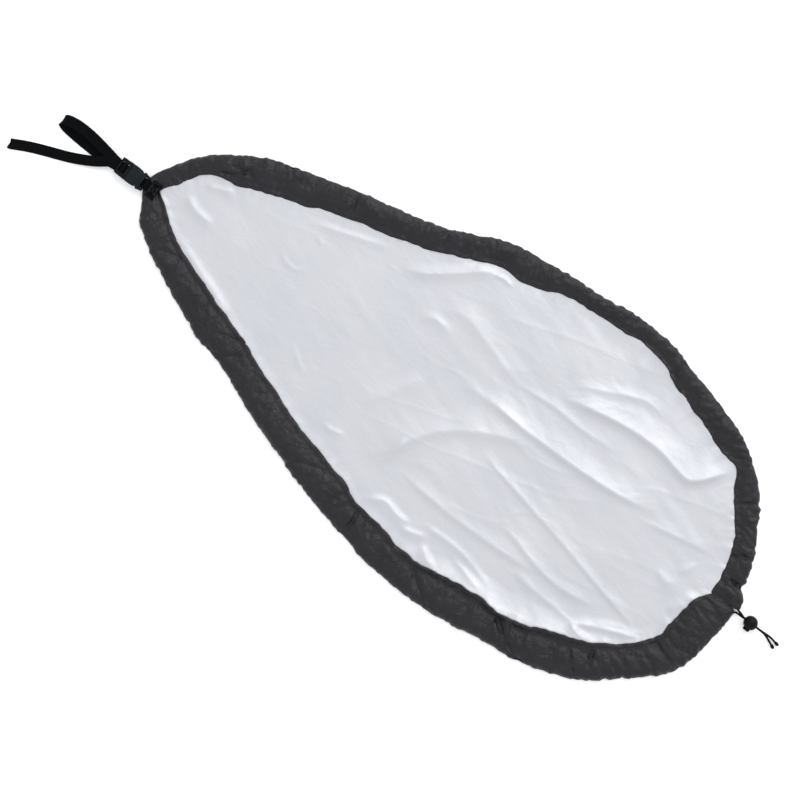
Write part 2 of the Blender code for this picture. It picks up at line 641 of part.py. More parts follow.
def make_tether(slide):
    """The tether from its sewn end, out to the loop's fold, through the ladder and to its tail."""
    low = WEB_THICKNESS / 2
    floor = low / MM
    split = TIP_X - TETHER_SPLIT
    sewn = [Vector((x, TETHER_Y, low)) for x in (split + 2 * GAP, TIP_X, TIP_X + SEWN_REACH)]
    loft("tether_anchor", ribbon_rings(sewn, WEB_WIDTH, WEB_THICKNESS), "webbing")

    # From the tip and the tether's line, in millimetres: along -X, across and up.
    loop = (
        (TETHER_SPLIT / MM, 0, floor), (24, 0, floor), (34, -1.0, floor), (50, -3.6, floor), (68, -5.4, floor),
        (86, -5.6, floor), (104, -4.8, floor + 0.05), (122, -2.2, floor + 0.4),
        (133, 0.3, 2.4), (137.6, 2.6, 5.8), (131, 5.2, 9.2), (117, 8.2, 10.8), (98, 9.8, 10.4),
        (80, 8.6, 8.6), (68, 6.2, 6.4), (58, 3.4, 5.5), (50, 1.2, 5.6),
    )
    tail = (
        (52, -2.6, 7.7), (59, -8.0, 7.6), (66, -13.2, 6.2), (76, -19.4, 4.3), (89, -26.4, 2.4),
        (104, -33.5, 1.1), (121, -40.4, floor), (140, -48.0, floor), (158, -56.0, floor),
        (180, -67.5, floor),
    )

    def by_tip(points):
        return [Vector((TIP_X - along * MM, TETHER_Y + y * MM, z * MM)) for along, y, z in points]

    under, over = -WEB_OVER_BAR - 0.1 * MM, WEB_OVER_BAR + 0.1 * MM
    second = under - WEB_THICKNESS - 0.5 * MM
    slot_a, slot_b = SLOT_A + LADDER_SLOT / 2, SLOT_B + LADDER_SLOT / 2
    middle = BAR_A + BAR_RADIUS
    ladder = (
        (PLUG_END + 0.5 * MM, second), (BAR_B + 0.5 * MM, second), (SLOT_B, second + 0.6 * MM),
        (BAR_A + 0.7 * MM, under - 0.35 * MM), (slot_a + 0.4 * MM, -BAR_RADIUS),
        (slot_a, 0), (slot_a + 0.3 * MM, BAR_RADIUS), (middle - 1.2 * MM, over),
        (middle, over + 0.1 * MM), (middle + 1.2 * MM, over), (slot_b - 0.3 * MM, BAR_RADIUS),
        (slot_b, 0), (slot_b + 0.3 * MM, -BAR_RADIUS), (BAR_B + 0.4 * MM, under + 0.05 * MM),
        (BAR_B + 2 * MM, under), (PLUG_END + 0.5 * MM, under),
    )
    threaded = [on_buckle(along, 0, z) for along, z in ladder]
    line = smooth_route([*by_tip(loop), *threaded, *by_tip(tail)], 0.8 * MM)
    line = [Vector((point.x, point.y, max(point.z, low))) for point in line]
    centres = thinned(line, 6 * MM, math.radians(9))
    rings = ribbon_rings(centres, WEB_WIDTH, WEB_THICKNESS)
    rings = [[Vector((point.x, point.y, max(point.z, 0))) for point in ring] for ring in rings]
    rings[-1] = [Vector((centres[-1].x, point.y, point.z)) for point in rings[-1]]
    loft("tether_webbing", rings, "webbing", world_place(slide), slide)


def make_tab():
    """The short webbing tab, folded round the socket's bar with both its ends under the patch."""
    rest = TIP_TOP + GAP + WEB_THICKNESS / 2
    top = WEB_OVER_BAR
    route = (
        (16.5, rest - 0.7 * MM), (12.0, rest - 0.2 * MM), (8.0, rest), (4.5, rest),
        (0.8, BAR_Z - top), (-top / MM * 0.72, BAR_Z - top * 0.72), (-top / MM, BAR_Z),
        (-top / MM * 0.72, BAR_Z + top * 0.72), (0.2, BAR_Z + top), (3.6, BAR_Z + top - 0.9 * MM),
        (6.6, rest + 2.5 * MM), (10.0, rest + 1.7 * MM), (16.5, rest + 0.9 * MM),
    )
    points = [Vector((BAR_X + along * MM, TETHER_Y, z)) for along, z in route]
    centres = thinned(smooth_route(points, 0.8 * MM), 4 * MM, math.radians(12))
    loft("female_tab", ribbon_rings(centres, WEB_WIDTH, WEB_THICKNESS), "webbing")


def make_patch():
    """The stitched patch over the tab's ends, with its sides down on the casing."""
    rest = TIP_TOP + GAP + WEB_THICKNESS / 2
    above_web = WEB_THICKNESS / 2 + GAP
    start = 7.0 * MM
    rings = []
    for share, top, skirt in ((0, 3.2, 0.3), (0.2, 2.5, 0.2), (0.6, 1.7, -0.6), (1, 1.4, -1.8)):
        x = BAR_X + start + share * PATCH_LENGTH
        middle = rest + top * MM + above_web
        side = rest + skirt * MM + GAP
        half = WEB_WIDTH / 2 + 2 * GAP
        line = [(-PATCH_WIDTH / 2, side), (-half - 1.2 * MM, side + 0.5 * MM), (-half, middle),
                (half, middle), (half + 1.2 * MM, side + 0.5 * MM), (PATCH_WIDTH / 2, side)]
        lower = [Vector((x, TETHER_Y + y, z)) for y, z in line]
        upper = [point + Vector((0, 0, PATCH_THICKNESS)) for point in reversed(lower)]
        rings.append(lower + upper)
    loft("anchor_patch", rings, "webbing")


def make_buckle_and_tether():
    bar = on_buckle(0, 0, 0)
    hinge = pivot("buckle_hinge", bar)
    slide = pivot("plug_slide_origin", on_buckle(PLUG_START, 0, 0), hinge)
    cavity_half, cavity_up = make_socket(hinge)
    make_plug(slide, cavity_up)
    for name, turn in (("prong_right", 1), ("prong_left", -1)):
        make_prong(name, turn, slide, cavity_half, cavity_up)
    make_tether(slide)
    make_tab()
    make_patch()


def main():
    clear_scene()
    edges = {side: make_casing(side) for side in SIDES}
    make_panel(edges)
    exit_place = make_drawcord(edges)
    make_lock(exit_place)
    make_buckle_and_tether()


main()
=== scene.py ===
"""The looks of a drawcord cockpit cover: a teardrop of silver coated cloth in a dark gathered casing,
with a cord lock at its wide end and a buckled webbing tether at its narrow end.

Metres, in the frame of the CAD model: the long axis along X, +Z up from the ground.
"""

import math

import bmesh
import bpy
import numpy as np
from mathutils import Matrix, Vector
from mathutils.kdtree import KDTree


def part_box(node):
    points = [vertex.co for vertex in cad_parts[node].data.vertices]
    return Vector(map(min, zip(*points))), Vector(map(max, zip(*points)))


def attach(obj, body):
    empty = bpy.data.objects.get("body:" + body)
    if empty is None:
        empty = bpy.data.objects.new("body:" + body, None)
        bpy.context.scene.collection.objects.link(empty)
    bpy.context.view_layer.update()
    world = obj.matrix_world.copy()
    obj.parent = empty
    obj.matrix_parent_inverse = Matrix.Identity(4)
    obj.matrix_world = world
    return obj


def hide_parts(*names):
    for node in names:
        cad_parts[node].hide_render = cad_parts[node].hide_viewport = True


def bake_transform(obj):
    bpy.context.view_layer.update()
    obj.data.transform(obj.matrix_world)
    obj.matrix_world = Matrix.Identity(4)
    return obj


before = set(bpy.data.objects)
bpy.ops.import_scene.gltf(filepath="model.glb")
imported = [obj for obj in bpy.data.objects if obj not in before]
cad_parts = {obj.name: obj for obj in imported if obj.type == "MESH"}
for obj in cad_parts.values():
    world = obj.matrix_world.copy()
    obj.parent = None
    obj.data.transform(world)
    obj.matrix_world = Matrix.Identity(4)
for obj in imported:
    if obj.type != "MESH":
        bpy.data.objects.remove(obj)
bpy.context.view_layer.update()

MM = 0.001


# ---- camera ----
VIEW_CENTRE = (0.0487, -0.0371)
VIEW_WIDTH = 1.096
VIEW_TURN = 37.0  # degrees about the vertical, so that the cover lies aslant

camera_data = bpy.data.cameras.new("camera")
camera_data.lens = 85
camera_data.sensor_width = 36
camera = bpy.data.objects.new("camera", camera_data)
bpy.context.scene.collection.objects.link(camera)
camera.location = (*VIEW_CENTRE, VIEW_WIDTH * camera_data.lens / camera_data.sensor_width)
camera.rotation_euler = (0, 0, math.radians(VIEW_TURN))
bpy.context.scene.camera = camera
bpy.context.scene.view_settings.view_transform = "Standard"


# ---- sizes shared with the CAD model ----
COVER_LENGTH = 1000 * MM
COVER_WIDTH = 495 * MM
TIP_X = -410 * MM
TETHER_Y = -11 * MM
EXIT_Y = 9.9 * MM
GAP = 0.3 * MM
FOLD_RADIUS = 2.9 * MM
SEWN_REACH = 11 * MM
SEWN_LIFT = 1.5 * MM
SEAM_ALLOWANCE = 10 * MM
WEB_WIDTH = 15 * MM
WEB_THICKNESS = 1.2 * MM
CORD_DIAMETER = 3 * MM
CORD_MOUTH = 9 * MM
TIP_TOP = SEWN_LIFT + 2 * FOLD_RADIUS
BAR = Vector((-406.5, -11, 10.6)) * MM  # the middle of the socket's bar
BAR_RADIUS = 1.5 * MM
LOCK_RADIUS = 10 * MM
BUTTON_TRAVEL = 2.4 * MM

OUTLINE_KNOTS = (
    (0.00, 0.687), (0.12, 0.711), (0.22, 0.713), (0.35, 0.790),
    (0.50, 0.941), (0.70, 1.075), (0.88, 1.204), (1.00, 1.293),
)
# Share of the way from the narrow tip to the cord's exit : how far in from the drawn outline the
# casing's outer fold lies, and its sewn edge, in millimetres.
OUTER_EDGE = {
    "right": (
        (0.00, 0), (0.03, 7), (0.075, 3), (0.11, -1), (0.15, -5), (0.25, -3.5), (0.30, -0.5),
        (0.375, 4), (0.40, 0), (0.45, -4.5), (0.49, 0), (0.57, 0.5), (0.65, -5.5), (0.70, 1.5),
        (0.73, 2.5), (0.80, -1), (0.85, 1), (0.925, 8), (0.966, 6), (0.974, 8.5), (0.982, 2.5),
        (0.989, -2), (0.996, -3.5), (1.00, -3),
    ),
    "left": (
        (0.00, 0), (0.025, 3), (0.05, 0), (0.11, 5), (0.15, 4.5), (0.20, 1), (0.235, 3.5),
        (0.275, -1), (0.35, -4.5), (0.40, -3), (0.45, 1.5), (0.475, 2.5), (0.50, -0.5),
        (0.60, -0.5), (0.675, 5), (0.725, -0.5), (0.80, -3), (0.85, -2.5), (0.90, -10),
        (0.925, -7.5), (0.95, -1.5), (0.985, 1), (0.995, 1), (1.00, -0.5),
    ),
}
INNER_EDGE = {
    "right": (
        (0.00, 24), (0.025, 32), (0.05, 34), (0.075, 28), (0.10, 31), (0.125, 40), (0.20, 41),
        (0.25, 36), (0.33, 39), (0.375, 38), (0.425, 31), (0.45, 32), (0.475, 38), (0.50, 36),
        (0.525, 29), (0.60, 25), (0.65, 20), (0.675, 23), (0.70, 33), (0.775, 36), (0.80, 32),
        (0.825, 25), (0.85, 35), (0.875, 39), (0.925, 38), (0.96, 41), (1.00, 44),
    ),
    "left": (
        (0.00, 24), (0.025, 36), (0.05, 39.5), (0.10, 45), (0.15, 50.5), (0.225, 49), (0.25, 46),
        (0.325, 42.5), (0.35, 42.5), (0.40, 48), (0.425, 49.5), (0.45, 45.5), (0.50, 48),
        (0.55, 45), (0.60, 52.5), (0.625, 57), (0.65, 56.5), (0.675, 51.5), (0.70, 51),
        (0.74, 54), (0.775, 53.5), (0.80, 50.5), (0.85, 46), (0.90, 43), (0.925, 51.5),
        (0.975, 55), (1.00, 44),
    ),
}


# ---- curves and noise ----
def through(knots, places):
    """A smooth curve's values at places, through (place, value) knots."""
    knots = np.asarray(knots, float)
    x, v = knots[:, 0], knots[:, 1]
    slope = np.gradient(v, x) if len(x) < 3 else np.concatenate((
        [(v[1] - v[0]) / (x[1] - x[0])], (v[2:] - v[:-2]) / (x[2:] - x[:-2]),
        [(v[-1] - v[-2]) / (x[-1] - x[-2])]))
    places = np.asarray(places, float)
    i = np.clip(np.searchsorted(x, places, "right") - 1, 0, len(x) - 2)
    length = x[i + 1] - x[i]
    t = (places - x[i]) / length
    return ((2 * t**3 - 3 * t**2 + 1) * v[i] + (t**3 - 2 * t**2 + t) * length * slope[i]
            + (3 * t**2 - 2 * t**3) * v[i + 1] + (t**3 - t**2) * length * slope[i + 1])


def lengths_along(points):
    """How far along a line each of its points lies."""
    return np.concatenate(([0], np.cumsum(np.linalg.norm(np.diff(points, axis=0), axis=1))))


def directions(points):
    along = np.gradient(points, axis=0)
    return along / np.linalg.norm(along, axis=1, keepdims=True)


def smooth_route(route, spacing):
    """Points at about this spacing on a smooth curve through the route's own points."""
    route = np.asarray(route, float)
    lengths = lengths_along(route)
    steps = max(round(lengths[-1] / spacing), 2)
    places = np.linspace(0, lengths[-1], steps + 1)
    return np.stack([through(np.stack((lengths, route[:, axis]), 1), places)
                     for axis in range(route.shape[1])], 1)


def ramp(value, low, high):
    t = np.clip((value - low) / (high - low), 0, 1)
    return t * t * (3 - 2 * t)


def lattice_noise(seed, *places):
    """Smooth noise from -1 to 1 over one or two coordinates, each counted in waves."""
    table = np.random.default_rng(seed).uniform(-1, 1, 4096)
    x = np.asarray(places[0], float)
    y = np.asarray(places[1], float) if len(places) > 1 else np.zeros_like(x)
    ix, iy = np.floor(x).astype(int), np.floor(y).astype(int)
    fx, fy = x - ix, y - iy
    fx, fy = fx * fx * (3 - 2 * fx), fy * fy * (3 - 2 * fy)

    def corner(i, j):
        return table[(i * 1619 + j * 31337 + (i * j) * 71) % 4096]

    low = corner(ix, iy) * (1 - fx) + corner(ix + 1, iy) * fx
    high = corner(ix, iy + 1) * (1 - fx) + corner(ix + 1, iy + 1) * fx
    return low * (1 - fy) + high * fy


# ---- the cover's outline ----
def outline(angle):
    share = (1 - np.cos(angle)) / 2
    across = np.sin(angle) / 2 * COVER_WIDTH * through(OUTLINE_KNOTS, share)
    return np.stack((TIP_X + COVER_LENGTH * share, across), -1)


def angle_near(start, y):
    half = COVER_WIDTH / 2 * float(through(OUTLINE_KNOTS, (1 - math.cos(start)) / 2))
    return start + math.asin(y / half) * math.cos(start)


class Edge:
    """One side of the outer edge, from the seam at the narrow tip to the cord's exit."""

    def __init__(self, side):
        start, end = angle_near(0, TETHER_Y), angle_near(math.pi, EXIT_Y)
        if side == "left":
            end -= 2 * math.pi
        self.side = side
        self.angles = np.linspace(start, end, 4001)
        self.lengths = lengths_along(outline(self.angles))
        self.length = self.lengths[-1]

    def frame(self, distance):
        """The edge's points and inward directions this far along it."""
        angle = np.interp(distance, self.lengths, self.angles)
        along = outline(angle + 1e-3) - outline(angle - 1e-3)
        along /= np.linalg.norm(along, axis=-1, keepdims=True)
        return outline(angle), np.stack((along[..., 1], -along[..., 0]), -1)

    def at(self, distance, inward, z):
        place, normal = self.frame(np.asarray(float(distance)))
        return np.array((*(place + normal * inward), z))

    def outer(self, distance):
        """How far in from the outline the casing's outer fold lies."""
        return through(OUTER_EDGE[self.side], np.clip(distance / self.length, 0, 1)) * MM

    def inner(self, distance):
        return through(INNER_EDGE[self.side], np.clip(distance / self.length, 0, 1)) * MM


EDGES = {side: Edge(side) for side in ("right", "left")}


# ---- materials ----
def linear(red, green, blue):
    return tuple(((c / 255 + 0.055) / 1.055) ** 2.4 if c > 10 else c / 3294.6
                 for c in (red, green, blue))


class Finish:
    """A procedural material, built up on the Principled shader."""

    def __init__(self, name, roughness, metallic=0.0, place="Object", **sockets):
        self.material = bpy.data.materials.new(name)
        self.material.use_nodes = True
        self.nodes, self.links = self.material.node_tree.nodes, self.material.node_tree.links
        self.shader = self.nodes["Principled BSDF"]
        self.shader.inputs["Roughness"].default_value = roughness
        self.shader.inputs["Metallic"].default_value = metallic
        for socket, value in sockets.items():
            self.shader.inputs[socket.replace("_", " ")].default_value = value
        self.place = self.add("TexCoord").outputs[place]
        self.normal = None

    def add(self, kind, **settings):
        made = self.nodes.new(f"ShaderNode{kind}")
        for name, value in settings.items():
            setattr(made, name, value)
        return made

    def mapped(self, stretch, turn):
        """Texture coordinates, stretched and turned about Z."""
        mapping = self.add("Mapping")
        mapping.inputs["Scale"].default_value = stretch
        mapping.inputs["Rotation"].default_value = (0, 0, turn)
        self.links.new(self.place, mapping.inputs["Vector"])
        return mapping.outputs["Vector"]

    def noise(self, scale, detail=3.0, stretch=(1, 1, 1), distortion=0.0):
        noise = self.add("TexNoise")
        noise.inputs["Scale"].default_value = scale
        noise.inputs["Detail"].default_value = detail
        noise.inputs["Distortion"].default_value = distortion
        self.links.new(self.mapped(stretch, 0), noise.inputs["Vector"])
        return noise.outputs["Fac"]

    def colours(self, factor, *stops):
        """A colour ramp over a factor, from (place, colour) stops."""
        ramped = self.add("ValToRGB")
        points = ramped.color_ramp.elements
        while len(points) < len(stops):
            points.new(0.5)
        for point, (place, colour) in zip(points, stops):
            point.position, point.color = place, (*colour, 1)
        self.links.new(factor, ramped.inputs["Fac"])
        self.links.new(ramped.outputs["Color"], self.shader.inputs["Base Color"])

    def rough(self, factor, low, high):
        spread = self.add("MapRange")
        spread.inputs["To Min"].default_value = low
        spread.inputs["To Max"].default_value = high
        self.links.new(factor, spread.inputs["Value"])
        self.links.new(spread.outputs["Result"], self.shader.inputs["Roughness"])

    def waves(self, period, axis, turn=0.0):
        """Even bands, one in each period."""
        wave = self.add("TexWave", wave_type="BANDS", bands_direction=axis)
        wave.inputs["Scale"].default_value = math.tau / (20 * period)
        self.links.new(self.mapped((1, 1, 1), turn), wave.inputs["Vector"])
        return wave.outputs["Fac"]

    def both(self, first, second, operation="ADD"):
        joined = self.add("Math", operation=operation)
        self.links.new(first, joined.inputs[0])
        self.links.new(second, joined.inputs[1])
        return joined.outputs[0]

    def bump(self, height, depth, strength=1.0):
        bump = self.add("Bump")
        bump.inputs["Strength"].default_value = strength
        bump.inputs["Distance"].default_value = depth
        self.links.new(height, bump.inputs["Height"])
        if self.normal:
            self.links.new(self.normal, bump.inputs["Normal"])
        self.normal = bump.outputs["Normal"]
        self.links.new(self.normal, self.shader.inputs["Normal"])


def silver_cloth():
    """Plain-woven cloth with a thin aluminium coating."""
    made = Finish("silver cloth", 0.47, 0.5)
    clouds = made.noise(9, 4)
    made.colours(clouds, (0.3, (0.565, 0.572, 0.604)), (0.7, (0.60, 0.606, 0.636)))
    made.rough(made.noise(60, 3), 0.43, 0.53)
    threads = made.both(made.waves(0.55 * MM, "X"), made.waves(0.55 * MM, "Y"))
    made.bump(threads, 0.02 * MM, 0.5)
    made.bump(made.noise(55, 6, (0.7, 1.3, 1), distortion=0.8), 1.3 * MM, 0.4)
    made.bump(made.noise(260, 3), 0.3 * MM, 0.35)
    return made.material


def casing_cloth():
    """Dark taffeta with the short wrinkles of a gathered hem."""
    made = Finish("casing cloth", 0.42, Sheen_Weight=0.045, Sheen_Roughness=0.45,
                  Sheen_Tint=(0.75, 0.78, 0.95, 1), Specular_IOR_Level=0.36)
    made.colours(made.noise(38, 5), (0.32, (0.0046, 0.0042, 0.0064)), (0.68, (0.0098, 0.0091, 0.0132)))
    made.rough(made.noise(90, 3), 0.34, 0.5)
    threads = made.both(made.waves(0.5 * MM, "X"), made.waves(0.5 * MM, "Y"))
    made.bump(threads, 0.03 * MM, 0.5)
    made.bump(made.noise(150, 4, distortion=0.8), 1.3 * MM, 0.6)
    made.bump(made.noise(60, 3, distortion=1.2), 4.2 * MM, 0.7)
    return made.material


def webbing_cloth(name="webbing", shade=1.0):
    """Woven webbing: ribs across it and warp lines along it. The first texture axis runs across."""
    made = Finish(name, 0.72, place="UV", Sheen_Weight=0.02, Sheen_Roughness=0.5,
                  Specular_IOR_Level=0.07)
    dark, light = linear(1 * shade, 2 * shade, 3 * shade), linear(4 * shade, 8 * shade, 11 * shade)
    ribs = made.both(made.waves(1.15 * MM, "Y"), made.waves(1.5 * MM, "X"), "MULTIPLY")
    made.colours(made.both(ribs, made.noise(700, 2), "MULTIPLY"), (0.05, dark), (0.6, light))
    made.rough(made.noise(900, 2), 0.62, 0.8)
    made.bump(ribs, 0.22 * MM, 0.8)
    made.bump(made.noise(1500, 2), 0.06 * MM, 0.5)
    return made.material


def plastic(name, dark, light, roughness):
    """Moulded plastic with a fine spark-eroded grain."""
    made = Finish(name, roughness, Specular_IOR_Level=0.14)
    made.colours(made.noise(120, 3), (0.35, dark), (0.7, light))
    made.rough(made.noise(400, 3), roughness - 0.05, roughness + 0.09)
    made.bump(made.noise(2200, 2), 0.03 * MM, 0.5)
    return made.material


def braided_cord():
    """Braided cover of an elastic cord, in two crossing sets of strands."""
    made = Finish("cord", 0.7, place="UV", Sheen_Weight=0.03, Sheen_Roughness=0.5,
                  Specular_IOR_Level=0.1)
    braid = made.both(made.waves(0.9 * MM, "X", 0.7), made.waves(0.9 * MM, "X", -0.7), "MAXIMUM")
    made.colours(braid, (0.2, linear(2, 3, 4)), (0.9, linear(10, 11, 13)))
    made.rough(made.noise(1200, 2), 0.6, 0.8)
    made.bump(braid, 0.16 * MM, 0.8)
    return made.material


def thread(name, colour):
    made = Finish(name, 0.55, Sheen_Weight=0.2)
    made.colours(made.noise(900, 2), (0.3, colour), (0.7, tuple(c * 1.5 for c in colour)))
    made.bump(made.waves(0.35 * MM, "DIAGONAL"), 0.05 * MM, 0.6)
    return made.material


def spring_wire():
    made = Finish("spring wire", 0.3, 1.0)
    made.colours(made.noise(300, 3), (0.3, (0.42, 0.42, 0.43)), (0.7, (0.6, 0.6, 0.61)))
    made.bump(made.noise(1800, 2, (1, 6, 1)), 0.02 * MM, 0.4)
    return made.material


SILVER, CASING, WEBBING = silver_cloth(), casing_cloth(), webbing_cloth()
PATCH_WEBBING = webbing_cloth("patch webbing", 0.9)
SOCKET_PLASTIC = plastic("socket plastic", linear(15, 22, 24), linear(22, 31, 33), 0.42)
PLUG_PLASTIC = plastic("plug plastic", linear(5, 9, 11), linear(10, 15, 18), 0.4)
LOCK_PLASTIC = plastic("lock plastic", linear(2, 3, 4), linear(6, 7, 9), 0.4)
CORD, SPRING = braided_cord(), spring_wire()
DARK_THREAD = thread("dark thread", linear(20, 20, 24))
CASING_THREAD = thread("casing thread", linear(34, 33, 38))


# ---- mesh helpers ----
def add_object(name, data, finish=None):
    made = bpy.data.objects.new(name, data)
    bpy.context.scene.collection.objects.link(made)
    if finish:
        data.materials.append(finish)
    return made


def grid_faces(rows, columns, wrap=True, caps=True):
    """The row and column of each face between rows of points, and the faces with any end caps."""
    i, j = np.meshgrid(np.arange(rows - 1), np.arange(columns if wrap else columns - 1),
                       indexing="ij")
    following = (j + 1) % columns
    quads = np.stack((i * columns + j, i * columns + following,
                      (i + 1) * columns + following, (i + 1) * columns + j), -1)
    faces = quads.reshape(-1, 4).tolist()
    if caps:
        faces += [list(range(columns))[::-1], list(range((rows - 1) * columns, rows * columns))]
    return i, j, faces


def surface(name, grid, finish, along=None, across=None, wrap=False, caps=False):
    """A smooth mesh over a grid of points, in rows along it. Wrapped rows close into rings."""
    data = bpy.data.meshes.new(name)
    i, j, faces = grid_faces(*grid.shape[:2], wrap, caps)
    data.from_pydata(grid.reshape(-1, 3).tolist(), [], faces)
    if along is not None:
        layer = data.uv_layers.new(name="UVMap")
        u = np.stack((across[j], across[j + 1], across[j + 1], across[j]), -1)
        v = np.stack((along[i], along[i], along[i + 1], along[i + 1]), -1)
        values = np.stack((u, v), -1).reshape(-1)
        padded = np.zeros(len(data.loops) * 2)
        padded[:len(values)] = values
        layer.data.foreach_set("uv", padded)
    data.shade_smooth()
    return add_object(name, data, finish)


def outward(made):
    """Faces turned outward all over a closed piece."""
    shape = bmesh.new()
    shape.from_mesh(made.data)
    bmesh.ops.recalc_face_normals(shape, faces=shape.faces)
    shape.to_mesh(made.data)
    shape.free()
    return made


def finished(made, angle=35):
    made.data.shade_smooth()
    made.data.set_sharp_from_angle(angle=math.radians(angle))
    return made


def tube(name, centres, radii, finish, sides=16):
    """A round tube along centres, with texture coordinates round and along it."""
    centres = np.asarray(centres, float)
    radii = np.broadcast_to(np.asarray(radii, float), len(centres))
    along = directions(centres)
    reference = np.array((0, 0, 1.0)) if abs(along[0][2]) < 0.9 else np.array((0, 1.0, 0))
    rings, side = [], None
    for centre, direction, radius in zip(centres, along, radii):
        side = reference if side is None else side
        side = side - side.dot(direction) * direction
        side /= np.linalg.norm(side)
        other = np.cross(direction, side)
        turns = np.linspace(0, math.tau, sides, endpoint=False)[:, None]
        rings.append(centre + radius * (np.cos(turns) * side + np.sin(turns) * other))
    across = np.linspace(0, math.tau * radii.max(), sides + 1)
    return outward(surface(name, np.array(rings), finish, lengths_along(centres), across, wrap=True,
                           caps=True))


def lathe_y(name, centre, profile, finish, sides=48):
    """A turned piece about a line along Y, from (radius, y) points."""
    turns = np.linspace(0, math.tau, sides, endpoint=False)
    grid = np.array([[(centre[0] + radius * math.cos(turn), centre[1] + y,
                       centre[2] + radius * math.sin(turn)) for turn in turns]
                     for radius, y in profile])
    return outward(surface(name, grid, finish, wrap=True, caps=True))


def prism(name, plan, low, high, finish, bevel=0.0):
    """A flat plan of (x, y) points given a thickness, with its edges rounded."""
    count = len(plan)
    points = [(x, y, z) for z in (low, high) for x, y in plan]
    faces = [list(range(count))[::-1], list(range(count, 2 * count))]
    faces += [[i, (i + 1) % count, count + (i + 1) % count, count + i] for i in range(count)]
    data = bpy.data.meshes.new(name)
    data.from_pydata(points, [], faces)
    made = outward(add_object(name, data, finish))
    if bevel:
        rounded = made.modifiers.new("rounded edges", "BEVEL")
        rounded.width, rounded.segments, rounded.limit_method = bevel, 3, "ANGLE"
        rounded.angle_limit = math.radians(40)
        rounded.use_clamp_overlap = True
        apply_modifiers(made)
    return made


def apply_modifiers(made):
    bpy.context.view_layer.update()
    depsgraph = bpy.context.evaluated_depsgraph_get()
    data = bpy.data.meshes.new_from_object(made.evaluated_get(depsgraph))
    made.modifiers.clear()
    made.data = data
    return made


def cut(made, cutter):
    boolean = made.modifiers.new("cut", "BOOLEAN")
    boolean.operation, boolean.object, boolean.solver = "DIFFERENCE", cutter, "EXACT"
    apply_modifiers(made)
    bpy.data.objects.remove(cutter, do_unlink=True)
    return made


def joined(name, pieces):
    """One mesh of several pieces, which keep their materials."""
    shape = bmesh.new()
    finishes = []
    for piece in pieces:
        start = len(shape.faces)
        shape.from_mesh(piece.data)
        shape.faces.ensure_lookup_table()
        for face in shape.faces[start:]:
            finish = piece.data.materials[face.material_index]
            if finish not in finishes:
                finishes.append(finish)
            face.material_index = finishes.index(finish)
    data = bpy.data.meshes.new(name)
    shape.to_mesh(data)
    shape.free()
    for finish in finishes:
        data.materials.append(finish)
    for piece in pieces:
        bpy.data.objects.remove(piece, do_unlink=True)
    return add_object(name, data)


def stitches(name, centres, normals, finish, length=2.4 * MM, pitch=3.4 * MM, radius=0.24 * MM):
    """A row of stitches along a line, each a short round bead half sunk in the cloth."""
    centres = np.asarray(centres, float)
    lengths = lengths_along(centres)
    starts = np.arange(pitch / 2, lengths[-1] - length, pitch)
    shares = np.array((0, 0.12, 0.5, 0.88, 1.0))
    swell = np.array((0.35, 0.8, 1.0, 0.8, 0.35))
    places = starts[:, None] + shares * length
    points = np.stack([np.interp(places, lengths, centres[:, axis]) for axis in range(3)], -1)
    up = np.stack([np.interp(places, lengths, np.asarray(normals)[:, axis])
                   for axis in range(3)], -1)
    along = points[:, -1:] - points[:, :1]
    along = along / np.linalg.norm(along, axis=-1, keepdims=True)
    side = np.cross(along, up)
    turns = np.linspace(0, math.tau, 6, endpoint=False)[:, None, None, None]
    rings = (points + up * radius * 0.3 + radius * swell[:, None]
             * (np.cos(turns) * side + np.sin(turns) * up))
    rings = rings.transpose(1, 2, 0, 3)
    count, steps, sides = rings.shape[:3]
    _, _, one = grid_faces(steps, sides)
    faces = [[bead * steps * sides + point for point in face] for bead in range(count) for face in one]
    data = bpy.data.meshes.new(name)
    data.from_pydata(rings.reshape(-1, 3).tolist(), [], faces)
    data.shade_smooth()
    return outward(add_object(name, data, finish))


